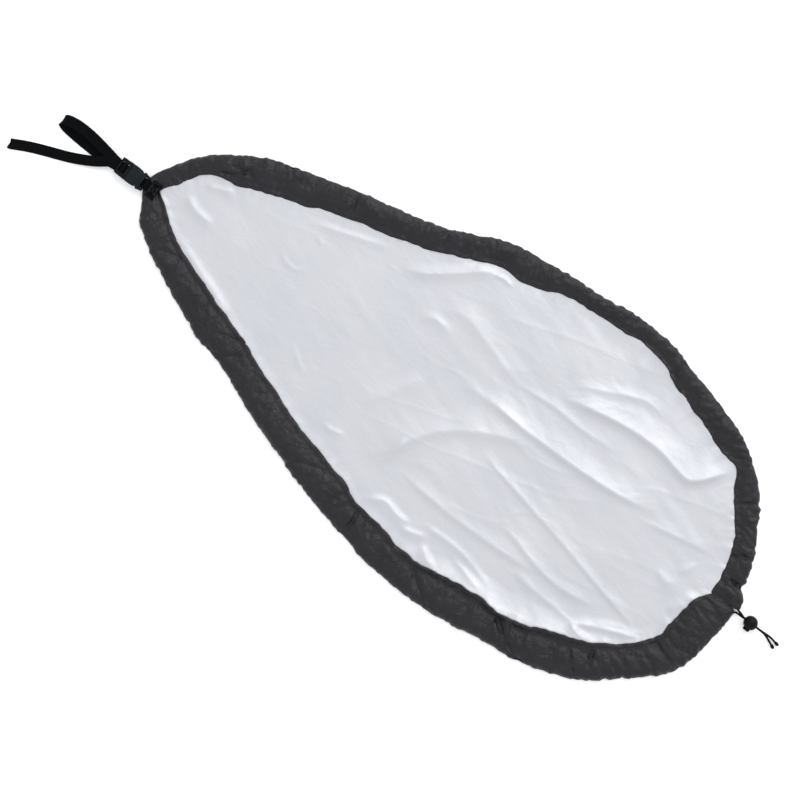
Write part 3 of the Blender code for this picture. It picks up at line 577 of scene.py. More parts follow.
# ---- folds in cloth ----
# Each fold is a crest's points in millimetres, towards +X, its height, how far it falls away on
# its steep side (towards -Y) and on its gentle side (towards +Y), and the share of its length
# over which it grows and dies away at each end.
PANEL_FOLDS = (
    # the long fold down the middle of the wide half, and the lobes beside it
    (((177, -26), (263, -44), (346, -61), (432, -81), (505, -96)), 2.6, 3.0, 15, 0.15),
    (((249, -90), (283, -93), (337, -107), (385, -110), (444, -100)), 3.4, 4.5, 17, 0.3),
    (((300, -128), (345, -134), (400, -137), (440, -140)), 2.2, 5, 16, 0.3),
    # the broad bright band beside the long axis
    (((120, 40), (165, 36), (205, 33), (252, 33), (307, 34), (366, 39), (430, 52)), 6.0, 5, 31, 0.25),
    (((150, 77), (190, 80), (230, 82), (278, 80), (332, 83)), 2.0, 3.5, 13, 0.3),
    # the large lobe by the upper casing
    (((218, 99), (269, 111), (322, 120), (373, 121), (425, 112), (438, 118), (455, 138), (474, 164)),
     8.0, 6, 36, 0.18),
    (((217, 118), (265, 141), (318, 164), (361, 160)), 2.4, 6, 15, 0.3),
    # the long folds below the middle
    (((91, -112), (145, -118), (204, -121), (282, -119), (352, -113)), 3.2, 5, 20, 0.25),
    (((47, -131), (78, -101), (94, -70), (126, -31), (188, 6), (248, 22)), 5.0, 9, 36, 0.25),
    (((78, -128), (84, -104), (86, -66)), 2.2, 6, 10, 0.35),
    # crumples over the lower casing
    (((87, -180), (113, -160), (141, -165), (165, -163)), 3.0, 9, 9, 0.25),
    (((166, -158), (190, -153), (237, -153), (276, -161), (310, -172)), 2.2, 5, 9, 0.25),
    (((188, -176), (206, -186), (226, -199)), 4.0, 9, 10, 0.3),
    (((150, -176), (172, -172), (192, -164)), 2.6, 6, 9, 0.3),
    (((232, -166), (262, -172), (300, -182)), 2.0, 5, 9, 0.3),
    # the flap by the lower casing's wide end
    (((412, -139), (430, -133), (458, -120), (510, -99)), 4.5, 5, 16, 0.25),
    (((413, -139), (440, -147), (462, -143)), 5.0, 6, 11, 0.3),
    (((410, 29), (463, 41), (520, 52)), 2.0, 3.5, 18, 0.25),
    (((468, -10), (484, -16), (504, -14)), 2.2, 7, 12, 0.4),
    (((494, 0), (502, 14), (507, 32)), 2.2, 8, 12, 0.4),
    (((512, -52), (524, -30), (534, -4)), 3.2, 9, 13, 0.35),
    # the narrow half
    (((-357, 14), (-329, 2), (-297, 0)), 3.0, 7, 11, 0.3),
    (((-344, 36), (-315, 48), (-300, 56)), 3.0, 7, 9, 0.3),
    (((-340, -36), (-290, -56), (-240, -74), (-205, -88)), 2.6, 8, 13, 0.25),
    (((-205, 31), (-190, 20), (-172, 20), (-160, 32)), 1.1, 4, 7, 0.35),
    (((-201, 82), (-132, 106), (-82, 124)), 2.0, 7, 8, 0.3),
    (((-60, 108), (-32, 120), (8, 150), (39, 175), (66, 180)), 4.6, 8, 15, 0.25),
    (((46, 176), (62, 181), (80, 178)), 3.0, 3, 5, 0.3),
    (((8, 92), (50, 108), (94, 98), (149, 82), (187, 74)), 2.6, 10, 24, 0.3),
    (((0, 68), (17, 80), (34, 80), (52, 74)), 2.2, 7, 11, 0.35),
    (((-123, -57), (-94, -79), (-71, -92)), 1.0, 4, 8, 0.35),
    (((-2, -72), (18, -60), (39, -23), (58, 12)), 2.2, 10, 20, 0.3),
    (((-20, -126), (0, -126), (20, -120)), 1.8, 5, 8, 0.35),
    (((95, 38), (150, 34), (212, 36)), 1.8, 8, 14, 0.3),
    (((-175, 76), (-168, 70), (-160, 70)), 1.0, 3, 5, 0.35),
)
# The casing's own folds, in the same terms. A negative height is a valley.
CASING_FOLDS = (
    (((88, -240), (96, -214), (92, -188)), -4.5, 5, 5, 0.15),
    (((143, -212), (187, -201), (230, -199)), 2.4, 5, 8, 0.25),
    (((196, -206), (216, -222), (246, -240)), -3.6, 4, 6, 0.2),
    (((326, -186), (345, -203), (368, -216), (396, -226)), -5.0, 4, 7, 0.12),
    (((336, -184), (360, -200), (384, -208)), 3.0, 5, 6, 0.25),
    (((436, -166), (450, -180), (464, -196)), -4.0, 3.5, 4, 0.2),
    (((466, -148), (469, -160), (474, -176)), -4.0, 3.5, 4, 0.2),
    (((452, -158), (468, -160), (484, -156)), -3.2, 4, 4, 0.25),
    (((524, -86), (540, -96), (580, -104)), -4.5, 4, 6, 0.15),
    (((500, -131), (522, -120), (548, -106)), -2.0, 3, 4, 0.2),
    (((534, -74), (550, -80), (584, -70)), -3.0, 4, 6, 0.2),
    (((540, 0), (556, -4), (586, -14)), -3.0, 4, 5, 0.2),
    (((552, 39), (566, 38), (590, 35)), -6.0, 3.5, 5, 0.2),
    (((544, 22), (562, 26), (584, 24)), 2.6, 5, 6, 0.25),
    (((492, 124), (508, 132), (524, 144)), -3.0, 3.5, 5, 0.2),
    (((536, 64), (548, 70), (566, 84)), -3.0, 3.5, 5, 0.2),
    (((452, 172), (466, 178), (480, 186)), -2.4, 3.5, 5, 0.2),
    (((392, 184), (404, 194), (418, 206)), -2.4, 3.5, 5, 0.2),
    (((318, 206), (326, 222), (330, 240)), -3.4, 4, 5, 0.15),
    (((204, 196), (212, 212), (214, 232)), -2.6, 4, 5, 0.2),
    (((60, 182), (70, 194), (84, 208)), -2.8, 4, 5, 0.2),
    (((-37, 194), (-34, 180), (-30, 158)), -3.2, 4, 5, 0.15),
    (((-170, 162), (-164, 146), (-158, 126)), -3.0, 4, 5, 0.15),
    (((-250, 108), (-238, 124), (-232, 140)), -2.4, 4, 6, 0.2),
    (((-336, 64), (-316, 74), (-300, 96)), -4.2, 4, 5, 0.12),
    (((-330, 80), (-312, 84), (-284, 86)), -3.4, 4, 5, 0.2),
    (((-326, 100), (-312, 92), (-296, 72)), 2.6, 4, 5, 0.25),
    (((-404, -36), (-384, -34), (-364, -36)), -3.0, 4, 5, 0.15),
    (((-342, -72), (-322, -66), (-300, -64)), -2.6, 4, 5, 0.2),
    (((-204, -140), (-184, -136), (-160, -118)), -3.8, 4, 6, 0.15),
    (((-206, -112), (-186, -108), (-166, -100)), -3.0, 4, 5, 0.2),
    (((-120, -150), (-100, -138), (-84, -120)), -2.2, 4, 6, 0.2),
    (((-20, -192), (4, -182), (26, -176)), -2.4, 4, 6, 0.2),
    (((30, -226), (50, -214), (62, -190)), -2.4, 4, 5, 0.2),
    (((268, -240), (280, -222), (296, -196)), -1.8, 4, 6, 0.2),
)


def folded(places, folds):
    """The height that the folds add at each (x, y) place."""
    total = np.zeros(len(places))
    for route, height, steep, gentle, taper in folds:
        centres = smooth_route(np.array(route, float) * MM, 2.5 * MM)
        steep, gentle, height = steep * MM, gentle * MM, height * MM
        reach = max(3 * steep, gentle)
        near = np.nonzero(np.all((places > centres.min(0) - reach)
                                 & (places < centres.max(0) + reach), 1))[0]
        if not len(near):
            continue
        apart = places[near][:, None] - centres[None]
        index = np.argmin((apart**2).sum(-1), 1)
        along = directions(centres)
        offset = apart[np.arange(len(near)), index]
        direction = along[index]
        side = direction[:, 0] * offset[:, 1] - direction[:, 1] * offset[:, 0]
        beyond = np.abs((offset * direction).sum(-1))
        share = index / (len(centres) - 1)
        grown = ramp(share, 0, taper) * ramp(1 - share, 0, taper) * np.exp(-(beyond / steep) ** 2)
        falling = np.where(side > 0, np.clip(1 - side / gentle, 0, 1) ** 1.7,
                           np.exp(-(np.abs(side) / steep) ** 1.5))
        total[near] += height * grown * falling
    return total


# ---- where each place lies on the cover ----
def sewn_edge(edge, distance):
    """How far in the casing's sewn edge lies, with the small steps of its gathered seam."""
    seed = 11 if edge.side == "right" else 12
    uneven = (1.3 * lattice_noise(seed, distance / (21 * MM))
              + 0.8 * lattice_noise(seed + 20, distance / (8 * MM)))
    uneven *= ramp(distance, 20 * MM, 60 * MM) * ramp(edge.length - distance, 4 * MM, 30 * MM)
    return edge.inner(distance) + uneven * MM


tree_points, tree_facts = [], []
for edge in EDGES.values():
    stations = np.linspace(0, edge.length, 1600)
    places, normals = edge.frame(stations)
    for point, normal, distance, width in zip(places, normals, stations,
                                              sewn_edge(edge, stations)):
        tree_points.append(point)
        tree_facts.append((edge.side == "left", distance, width, *normal))
tree_facts = np.array(tree_facts)
tree = KDTree(len(tree_points))
for index, point in enumerate(tree_points):
    tree.insert((*point, 0), index)
tree.balance()
tree_points = np.array(tree_points)


def on_cover(places):
    """For each place: is it by the left edge, how far along, how far in, and the casing there."""
    index = np.array([tree.find((x, y, 0))[1] for x, y in places])
    facts = tree_facts[index]
    inward = ((places - tree_points[index]) * facts[:, 3:5]).sum(-1)
    return facts[:, 0], facts[:, 1], inward, facts[:, 2]


PANEL_REST = 2.2 * MM  # the panel's height under the casing's sewn edge
# Share of the way along the left edge : how high the panel rises to the casing, and from how far.
RISE_BY_LEFT = ((0, 1), (0.1, 1.8), (0.3, 1.6), (0.5, 2), (0.58, 4.5), (0.64, 8), (0.72, 8),
                (0.8, 4.5), (0.86, 3), (1, 2))
RISE_REACH = ((0, 8), (0.1, 12), (0.3, 14), (0.5, 14), (0.6, 26), (0.7, 34), (0.8, 24), (1, 14))


def panel_height(places):
    """The silver cloth's height at each (x, y) place."""
    left, distance, inward, width = on_cover(places)
    x, y = places[:, 0], places[:, 1]
    inside = inward - width
    wide = ramp(x, -0.05, 0.22)
    height = PANEL_REST + 0.85 * folded(places, PANEL_FOLDS) * ramp(inside, -4 * MM, 10 * MM)
    # long soft waves along the cover, stronger in its wide half
    height += (0.6 + 1.0 * wide) * MM * (1 + lattice_noise(1, x / 0.19, y / 0.055 + x / 0.5))
    height += (0.25 + 0.3 * wide) * MM * lattice_noise(2, x / 0.075, (y + 0.2 * x) / 0.021)
    height += (0.16 + 0.1 * wide) * MM * lattice_noise(3, x / 0.028, (y + 0.3 * x) / 0.011)
    ridged = 1 - np.abs(lattice_noise(4, (x + 0.4 * y) / 0.09, (y - 0.25 * x) / 0.035))
    height += (0.2 + 0.3 * wide) * MM * ridged**6
    # the cloth rises to the lower casing and is gathered along both seams
    share = distance / EDGES["left"].length
    rise = np.where(left > 0.5, through(RISE_BY_LEFT, share), 0.4) * MM
    reach = np.where(left > 0.5, through(RISE_REACH, share), 12) * MM
    height += rise * np.clip(1 - inside / reach, 0, 1) ** 1.4 * ramp(inside, -8 * MM, 1 * MM)
    gathers = lattice_noise(5, distance / (13 * MM), left * 9 + inside / (40 * MM))
    gathers += 0.6 * lattice_noise(6, distance / (6 * MM), left * 9 + inside / (25 * MM))
    height += 1.1 * MM * gathers * np.exp(-np.abs(inside) / (11 * MM)) * (0.6 + 0.5 * wide)
    under = ramp(-inside, 0, 8 * MM)
    height = height * (1 - under) + 1.6 * MM * under
    return np.clip(height, 0.7 * MM, 15 * MM)


# ---- the panel ----
PANEL_STEP = 2.2 * MM


def make_panel():
    low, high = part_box("panel")
    xs = np.arange(low[0], high[0] + PANEL_STEP, PANEL_STEP)
    ys = np.arange(low[1], high[1] + PANEL_STEP, PANEL_STEP)
    gx, gy = np.meshgrid(xs, ys, indexing="ij")
    places = np.stack((gx.ravel(), gy.ravel()), 1)
    _, _, inward, width = on_cover(places)
    inside = ((inward - width) > -SEAM_ALLOWANCE + 1 * MM).reshape(gx.shape)
    heights = np.zeros(len(places))
    used = inside.ravel()
    heights[used] = panel_height(places[used])
    whole = inside[:-1, :-1] & inside[1:, :-1] & inside[:-1, 1:] & inside[1:, 1:]
    i, j = np.nonzero(whole)
    columns = len(ys)
    quads = np.stack((i * columns + j, (i + 1) * columns + j,
                      (i + 1) * columns + j + 1, i * columns + j + 1), 1)
    kept, quads = np.unique(quads, return_inverse=True)
    points = np.column_stack((places, heights))[kept]
    data = bpy.data.meshes.new("silver_sheet")
    data.from_pydata(points.tolist(), [], quads.reshape(-1, 4).tolist())
    data.shade_smooth()
    panel = add_object("silver_sheet", data, SILVER)
    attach(panel, "cover")
    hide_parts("panel")


# ---- the casing ----
def lifted(places, inward):
    """How far the casing is raised where it lies on the tether's sewn end."""
    aside = np.abs(places[..., 1] - TETHER_Y) - WEB_WIDTH / 2
    share = (1 - ramp(aside, 3 * MM, 10 * MM)) * (places[..., 0] < TIP_X + 3 * SEWN_REACH)
    return SEWN_LIFT * share * (1 - ramp(inward - SEWN_REACH, 0.5 * MM, 2.5 * MM))


def puckers(edge, distance, seed):
    """Short gathers across the casing: how high each point of a (station, share) grid stands."""
    local = np.random.default_rng(seed)
    width = edge.inner(distance) - edge.outer(distance)
    shares = np.linspace(0, 1, UPPER)
    total = np.zeros((len(distance), UPPER))
    place = 6 * MM
    while place < edge.length - 6 * MM:
        place += local.uniform(5, 13) * MM
        outer = local.random() < 0.62
        height = local.uniform(0.7, 2.8) * (1 if local.random() < 0.5 else -1) * MM
        spread = local.uniform(1.8, 4.2) * MM
        lean = local.uniform(-0.55, 0.55)
        reach = local.uniform(0.2, 0.75)
        near = np.nonzero(np.abs(distance - place) < 3 * spread + 30 * MM)[0]
        share = shares if outer else 1 - shares
        inward = shares[None] * width[near, None]
        apart = distance[near, None] - place - lean * inward
        total[near] += (height * np.exp(-(apart / spread) ** 2)
                        * np.clip(1 - share / reach, 0, 1)[None] ** 0.8)
    return total


UPPER, LOWER = 30, 9  # points across the upper and the lower ply
VISIBLE_MOUTH = {"right": 2.4 * MM, "left": 3.4 * MM}  # how far each falls short at the cord's exit
STITCH_INSET = 7.5 * MM  # from the casing's sewn edge


def make_casing(side):
    edge = EDGES[side]
    seed = 31 if side == "right" else 32
    count = round(edge.length / (2.0 * MM))
    distance = np.linspace(GAP, edge.length, count)
    outer, sewn_at = edge.outer(distance), sewn_edge(edge, distance)
    width = sewn_at - outer
    from_tip = ramp(distance, 14 * MM, 60 * MM)
    full = (10.6 + 1.6 * lattice_noise(seed, distance / (70 * MM))
            + 0.9 * lattice_noise(seed + 1, distance / (26 * MM))) * MM
    full *= 0.93 + 0.1 * (side == "left")
    crown = 2 * FOLD_RADIUS + (full - 2 * FOLD_RADIUS) * from_tip
    shares = np.linspace(0, 1, UPPER)
    turn = math.pi * shares
    across = 0.55 * (1 - np.cos(turn)) / 2 + 0.45 * shares

    # the outer edge is scalloped by the cord that gathers it
    gathers = puckers(edge, distance, seed + 2)
    gathers *= ramp(distance, 12 * MM, 40 * MM)[:, None]
    scallop = (0.7 * lattice_noise(seed + 3, distance / (5.5 * MM))
               + 0.6 * lattice_noise(seed + 4, distance / (14 * MM))
               + 1.0 * lattice_noise(seed + 5, distance / (45 * MM)))
    scallop *= ramp(distance, 10 * MM, 40 * MM) * ramp(edge.length - distance, 2 * MM, 25 * MM) * MM
    inward = (outer[:, None] + width[:, None] * across[None]
              + scallop[:, None] * (1 - across[None]) ** 2)
    inward -= 0.5 * gathers * (1 - across[None]) ** 3

    # the mouth that the drawcord leaves by
    back = VISIBLE_MOUTH[side] * (1 - ramp(inward, 0.5 * MM, 6 * MM))
    settle = ramp(distance, edge.length - 34 * MM, edge.length)[:, None]
    stations = distance[:, None] - back * settle
    places, normals = edge.frame(stations)
    spots = places + normals * inward[..., None]

    # the section: round at the cord, full in the middle, down to the sewn edge
    flat_spots = spots.reshape(-1, 2)
    seam_height = panel_height(spots[:, -1])
    bulge = np.sin(turn) ** 0.75
    lean = 1 + 0.12 * np.cos(turn)
    foot = FOLD_RADIUS * (1 - across[None]) ** 2
    height = foot + (crown[:, None] - 0.4 * FOLD_RADIUS) * bulge[None] * lean[None]
    sewn = ramp(across, 0.78, 1.0)[None]
    height = height * (1 - 0.35 * sewn) + (seam_height[:, None] + 0.5 * MM) * sewn
    middle = np.sin(turn)[None] ** 0.4
    height += gathers * np.clip(bulge + 0.35, 0, 1)[None]
    height += folded(flat_spots, CASING_FOLDS).reshape(height.shape) * middle * from_tip[:, None]
    wrinkles = (1.25 * lattice_noise(seed + 6, distance[:, None] / (9 * MM) + 2 * across[None],
                                     across[None] * 3 + distance[:, None] / (60 * MM))
                + 0.6 * lattice_noise(seed + 7, distance[:, None] / (4.5 * MM), across[None] * 5))
    height += wrinkles * MM * middle * (0.3 + 0.7 * from_tip[:, None])
    stitch_line = sewn_at[:, None] - inward - STITCH_INSET
    height -= 0.35 * MM * np.exp(-(stitch_line / (1.6 * MM)) ** 2) * from_tip[:, None]
    least = 2.2 * FOLD_RADIUS * np.sin(turn) ** 0.5 * (across < 0.3)
    height = np.maximum(height, np.maximum(least[None], 1.2 * MM * (across[None] > 0.02)))
    end = ramp(edge.length - distance, 0, 12 * MM)[:, None]
    height = height * (0.72 + 0.28 * end)
    height += lifted(spots, inward)
    upper = np.concatenate((spots, height[..., None]), -1)

    # the lower ply, on the ground
    shares = np.linspace(1, 0, LOWER + 1)[:-1]
    inward_low = outer[:, None] + (width[:, None] - 1 * MM) * shares[None] + 0.8 * MM
    back = 0.3 * VISIBLE_MOUTH[side] * (1 - ramp(inward_low, 0.5 * MM, 6 * MM))
    places, normals = edge.frame(distance[:, None] - back * settle)
    spots = places + normals * inward_low[..., None]
    waves = lattice_noise(seed + 8, distance[:, None] / (12 * MM), shares[None] * 3)
    low = 0.25 * MM + 0.5 * MM * (1 + waves)
    low = np.broadcast_to(low, inward_low.shape) + lifted(spots, inward_low)
    lower = np.concatenate((spots, low[..., None]), -1)
    grid = np.concatenate((upper[:, ::-1], lower[:, ::-1]), 1)
    casing = surface(f"casing_{side}_cloth", grid, CASING)
    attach(casing, "cover")
    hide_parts(f"casing_{side}")

    # the row of stitches beside the sewn edge
    column = np.argmin(np.abs(stitch_line), axis=1)
    keep = (distance > 24 * MM) & (distance < edge.length - 8 * MM)
    line = smooth_line(upper[np.arange(count), column][keep], 3)
    line[:, 2] += 0.1 * MM
    seam = stitches(f"casing_{side}_stitches", line, np.tile((0, 0, 1.0), (len(line), 1)),
                    CASING_THREAD)
    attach(seam, "cover")


def smooth_line(points, rounds):
    points = points.copy()
    for _ in range(rounds):
        points[1:-1] = (points[:-2] + 2 * points[1:-1] + points[2:]) / 4
    return points


# ---- the drawcord, its lock and its tips ----
EXIT = EDGES["right"].at(EDGES["right"].length, 0, 0)
LOCK_CENTRE = Vector((EXIT[0] + 24.2 * MM, EXIT[1] - 2.2 * MM, LOCK_RADIUS))
# The free ends' routes, in millimetres from the exit.
STRANDS = {
    "a": (
        (-2.3, 5.0, 3.97), (-0.6, 2.8, 4.8), (2.2, 1.5, 6.18), (5.6, 0.5, 8.39), (8.6, -0.7, 10.41),
        (11.6, -1.8, 11.52), (17.0, -2.2, 11.7), (24.2, -2.2, 11.7), (32.0, -2.2, 11.7),
        (41.0, -2.2, 11.61), (48.0, -1.9, 10.23), (55.0, -1.5, 7.19), (62.0, -1.9, 4.34),
        (68.6, -3.0, 2.5),
    ),
    "b": (
        (-2.4, -5.4, 3.31), (-0.8, -3.4, 3.78), (2.2, -2.2, 4.82), (5.6, -2.3, 6.27),
        (8.6, -2.4, 7.37), (11.4, -2.3, 8.13), (17.0, -2.2, 8.3), (24.2, -2.2, 8.3),
        (32.0, -2.2, 8.3), (40.0, -2.3, 8.18), (47.0, -2.6, 7.02), (54.0, -4.1, 4.7),
        (61.0, -6.7, 3.02), (66.2, -8.9, 2.5),
    ),
}


def make_strand(name, side):
    edge = EDGES[side]
    inside = CORD_MOUTH + 2 * MM
    start = [edge.at(edge.length - back, FOLD_RADIUS, FOLD_RADIUS + rise)
             for back, rise in ((inside, 0), (inside - 3 * MM, 0.2 * MM))]
    route = smooth_route([*start, *(EXIT + np.array(STRANDS[name]) * MM)], 1.5 * MM)
    length = float(lengths_along(route)[-1])
    strand = tube(f"cord_{name}", route, CORD_DIAMETER / 2, CORD)
    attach(strand, "cover")
    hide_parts(f"drawcord_end_{name}")
    return strand, route, length


def make_tip(name, route):
    """The cord's melted end: a crimped collar and a lumpy, rounded bead."""
    along = route[-1] - route[-2]
    along /= np.linalg.norm(along)
    along[2] = max(along[2], -0.05)
    along /= np.linalg.norm(along)
    profile = ((-0.4, 1.35), (-0.2, 1.9), (0.4, 2.15), (0.9, 2.0), (1.3, 2.2), (2.2, 2.3),
               (3.4, 2.28), (4.4, 2.1), (5.2, 1.65), (5.7, 0.95), (5.9, 0.3))
    centres = [route[-1] + along * (0.5 + step) * MM for step, _ in profile]
    tip = tube(f"cord_{name}_bead", centres, [radius * MM for _, radius in profile], CORD, 20)
    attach(tip, "cover")
    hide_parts(f"cord_tip_{name}")
    return tip


def cord_way(name, low, high, tall):
    """A cutter for the cords' way along X through the lock, from low to high across it."""
    x, y, z = LOCK_CENTRE
    reach = 2 * LOCK_RADIUS
    plan = [(x - reach, y + low), (x + reach, y + low), (x + reach, y + high), (x - reach, y + high)]
    return prism(name, plan, z - tall, z + tall, LOCK_PLASTIC)


def make_lock():
    """A ball cord lock: a hollow ball with a sprung button, both pierced for the cords."""
    radius = LOCK_RADIUS
    rim, bore, depth = 6.3 * MM, 5.3 * MM, 7.8 * MM
    profile = []
    steps = 32
    for step in range(steps + 1):
        turn = math.pi / 2 - (math.pi / 2 + math.acos(rim / radius)) * step / steps
        y = radius * math.sin(turn)
        groove = 0.28 * MM * sum(math.exp(-((y - line * MM) / (0.35 * MM)) ** 2)
                                 for line in (5.6, 4.2))
        profile.append((max(radius * math.cos(turn), 0.05 * MM) - groove * (step > 3), y))
    mouth = profile[-1][1]
    profile += [(rim - 0.3 * MM, mouth - 0.25 * MM), (bore + 0.5 * MM, mouth - 0.3 * MM),
                (bore, mouth + 0.2 * MM), (bore, 0), (bore, depth - 0.4 * MM),
                (bore - 0.5 * MM, depth), (0.05 * MM, depth)]
    ball = lathe_y("lock_ball", LOCK_CENTRE, profile, LOCK_PLASTIC, 56)
    finished(cut(ball, cord_way("slot", -2.0 * MM, 2.0 * MM, 4.2 * MM)), 40)
    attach(ball, "cord_lock")
    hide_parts("lock_body")

    reach, inner = 5.0 * MM, 3.2 * MM
    outer = -radius - 2.7 * MM
    profile = [(0.05 * MM, outer), (2.0 * MM, outer + 0.08 * MM), (3.4 * MM, outer + 0.3 * MM),
               (4.3 * MM, outer + 0.8 * MM), (4.85 * MM, outer + 1.5 * MM)]
    for start in (2.2, 3.1):
        profile += [(reach, outer + start * MM), (reach, outer + (start + 0.3) * MM),
                    (reach - 0.35 * MM, outer + (start + 0.45) * MM),
                    (reach, outer + (start + 0.6) * MM)]
    profile += [(reach, outer + 6 * MM), (reach, inner - 0.3 * MM), (reach - 0.3 * MM, inner),
                (0.05 * MM, inner)]
    button = lathe_y("lock_button_cap", LOCK_CENTRE, profile, LOCK_PLASTIC)
    finished(cut(button, cord_way("window", -1.8 * MM - BUTTON_TRAVEL, 1.8 * MM, 3.8 * MM)), 40)
    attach(button, "lock_button")
    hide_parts("lock_plunger")
    return ball, button


def make_spring():
    """The coil behind the button, made at one length in three turns."""
    turns, radius, wire, low, high = 3, 3.4 * MM, 0.25 * MM, 3.75 * MM, 7.25 * MM
    coil = []
    steps = 24  # in each turn
    for step in range(turns * steps + 1):
        turn, share = math.tau * step / steps, step / (turns * steps)
        coil.append(LOCK_CENTRE + Vector((radius * math.cos(turn), low + (high - low) * share,
                                          radius * math.sin(turn))))
    spring = tube("lock_coil", coil, wire, SPRING, 10)
    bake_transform(spring)
    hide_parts("lock_spring")
    return spring


def make_cords():
    ball, button = make_lock()
    spring = make_spring()
    for name, side in (("a", "right"), ("b", "left")):
        strand, route, length = make_strand(name, side)
        tip = make_tip(name, route)
    half = {}
    for side, edge in EDGES.items():
        places = np.linspace(1 * MM, edge.length - CORD_MOUTH - 3 * MM, 300)
        half[side] = np.array([edge.at(place, float(edge.outer(place)) + FOLD_RADIUS + 0.8 * MM,
                                       FOLD_RADIUS) for place in places])
        half[side][:, 2] += lifted(half[side][:, :2], np.full(len(places), FOLD_RADIUS))
    loop = tube("cord_in_casing", np.concatenate((half["right"][::-1], half["left"])),
                CORD_DIAMETER / 2, CORD, 12)
    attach(loop, "cover")
    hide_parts("drawcord_loop")


# ---- the tether ----
def on_bar(along, y, z):
    """A point this far from the socket's bar towards -X, and across and up from the bar, in mm."""
    return np.array((BAR.x / MM - along, BAR.y / MM + y, BAR.z / MM + z)) * MM


TETHER_LOOP = (
    (4, 0, 0.6), (24, 0, 0.6), (34, -1.0, 0.6), (50, -3.6, 0.6), (68, -5.2, 0.6), (86, -5.2, 0.6),
    (104, -4.6, 0.65), (121, -3.4, 1.0), (133, -1.6, 2.4), (139.0, 1.8, 5.8), (134, 5.8, 9.2),
    (118, 8.8, 10.8), (98, 8.6, 10.4), (80, 6.4, 8.6), (68, 4.4, 6.4), (58, 2.6, 5.5),
    (50, 1.2, 5.6),
)
TETHER_LADDER = (
    (45.0, -4.2), (42.0, -4.2), (38.0, -3.6), (35.7, -2.85), (33.65, -1.5), (33.25, 0),
    (33.55, 1.5), (35.3, 2.5), (36.5, 2.6), (37.7, 2.5), (39.45, 1.5), (39.75, 0), (40.05, -1.5),
    (41.9, -2.45), (43.5, -2.5), (45.0, -2.5),
)
TETHER_TAIL = (
    (52, -2.6, 7.7), (59, -8.0, 7.6), (66, -13.2, 6.2), (76, -19.4, 4.3), (89, -26.4, 2.4),
    (104, -33.5, 1.1), (121, -40.4, 0.6), (140, -48.0, 0.6), (158, -56.0, 0.6),
    (180, -67.5, 0.6),
)


# Where the tether's first and second pieces end, under the buckle and at the loop.
ROOT_END_X = -0.4300
LOW_STRAND_END_X = -0.5300


def web_section():
    """Half-round selvedges and flat faces: (across, up) points round the webbing."""
    half, thick = WEB_WIDTH / 2, WEB_THICKNESS / 2
    top = [(y, thick * (1 + 0.12 * math.cos(math.pi * y / half * 0.98)))
           for y in np.linspace(-half + 0.6 * MM, half - 0.6 * MM, 13)]
    edge = [(half - 0.2 * MM, thick * 0.75), (half, 0), (half - 0.2 * MM, -thick * 0.75)]
    return [*top, *edge, *[(y, -z) for y, z in top[::-1]], *[(-y, -z) for y, z in edge]]


def ribbon(name, centres, finish, start=0.0, end_square=False):
    """Webbing along its middle line, lying across Y. Its texture is counted on from start."""
    centres = np.asarray(centres, float)
    along = directions(centres)
    level = (along[:, :2]**2).sum(1, keepdims=True)
    across = np.array((0, 1.0, 0)) - level * along[:, 1:2] * along
    across /= np.linalg.norm(across, axis=1, keepdims=True)
    up = np.cross(along, across)
    section = np.array(web_section())
    grid = (centres[:, None] + across[:, None] * section[None, :, :1]
            + up[:, None] * section[None, :, 1:])
    grid[..., 2] = np.maximum(grid[..., 2], 0)
    if end_square:
        grid[-1, :, 0] = centres[-1, 0]
    lengths = start + lengths_along(centres)
    round_it = np.concatenate((section[:, 0], section[:1, 0]))
    return outward(surface(name, grid, finish, lengths, round_it, wrap=True, caps=True))


def make_tether():
    def by_tip(points):
        return [np.array((TIP_X / MM - along, TETHER_Y / MM + y, z)) * MM for along, y, z in points]

    sewn = [np.array((TIP_X + reach * MM, TETHER_Y, WEB_THICKNESS / 2)) for reach in (10.5, 5)]
    threaded = [on_bar(along, 0, z) for along, z in TETHER_LADDER]
    line = smooth_route([*sewn, *by_tip(TETHER_LOOP), *threaded, *by_tip(TETHER_TAIL)], 1.0 * MM)
    line[:, 2] = np.maximum(line[:, 2], WEB_THICKNESS / 2)
    lengths = lengths_along(line)
    near = int(np.argmax(line[:, 0] < ROOT_END_X))
    onward = int(np.argmax(line[:, 0] < LOW_STRAND_END_X))
    parts = (
        ("tether_root", 0, near + 1),
        ("tether_low_strand", near, onward + 1),
        ("tether_loop_and_tail", onward, len(line)),
    )
    made = {}
    for name, first, last in parts:
        made[name] = ribbon(name, line[first:last], WEBBING, lengths[first],
                            end_square=name == "tether_loop_and_tail")
    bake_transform(made["tether_root"])
    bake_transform(made["tether_low_strand"])
    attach(made["tether_loop_and_tail"], "plug")
    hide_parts("tether_anchor")
    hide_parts("tether_webbing")


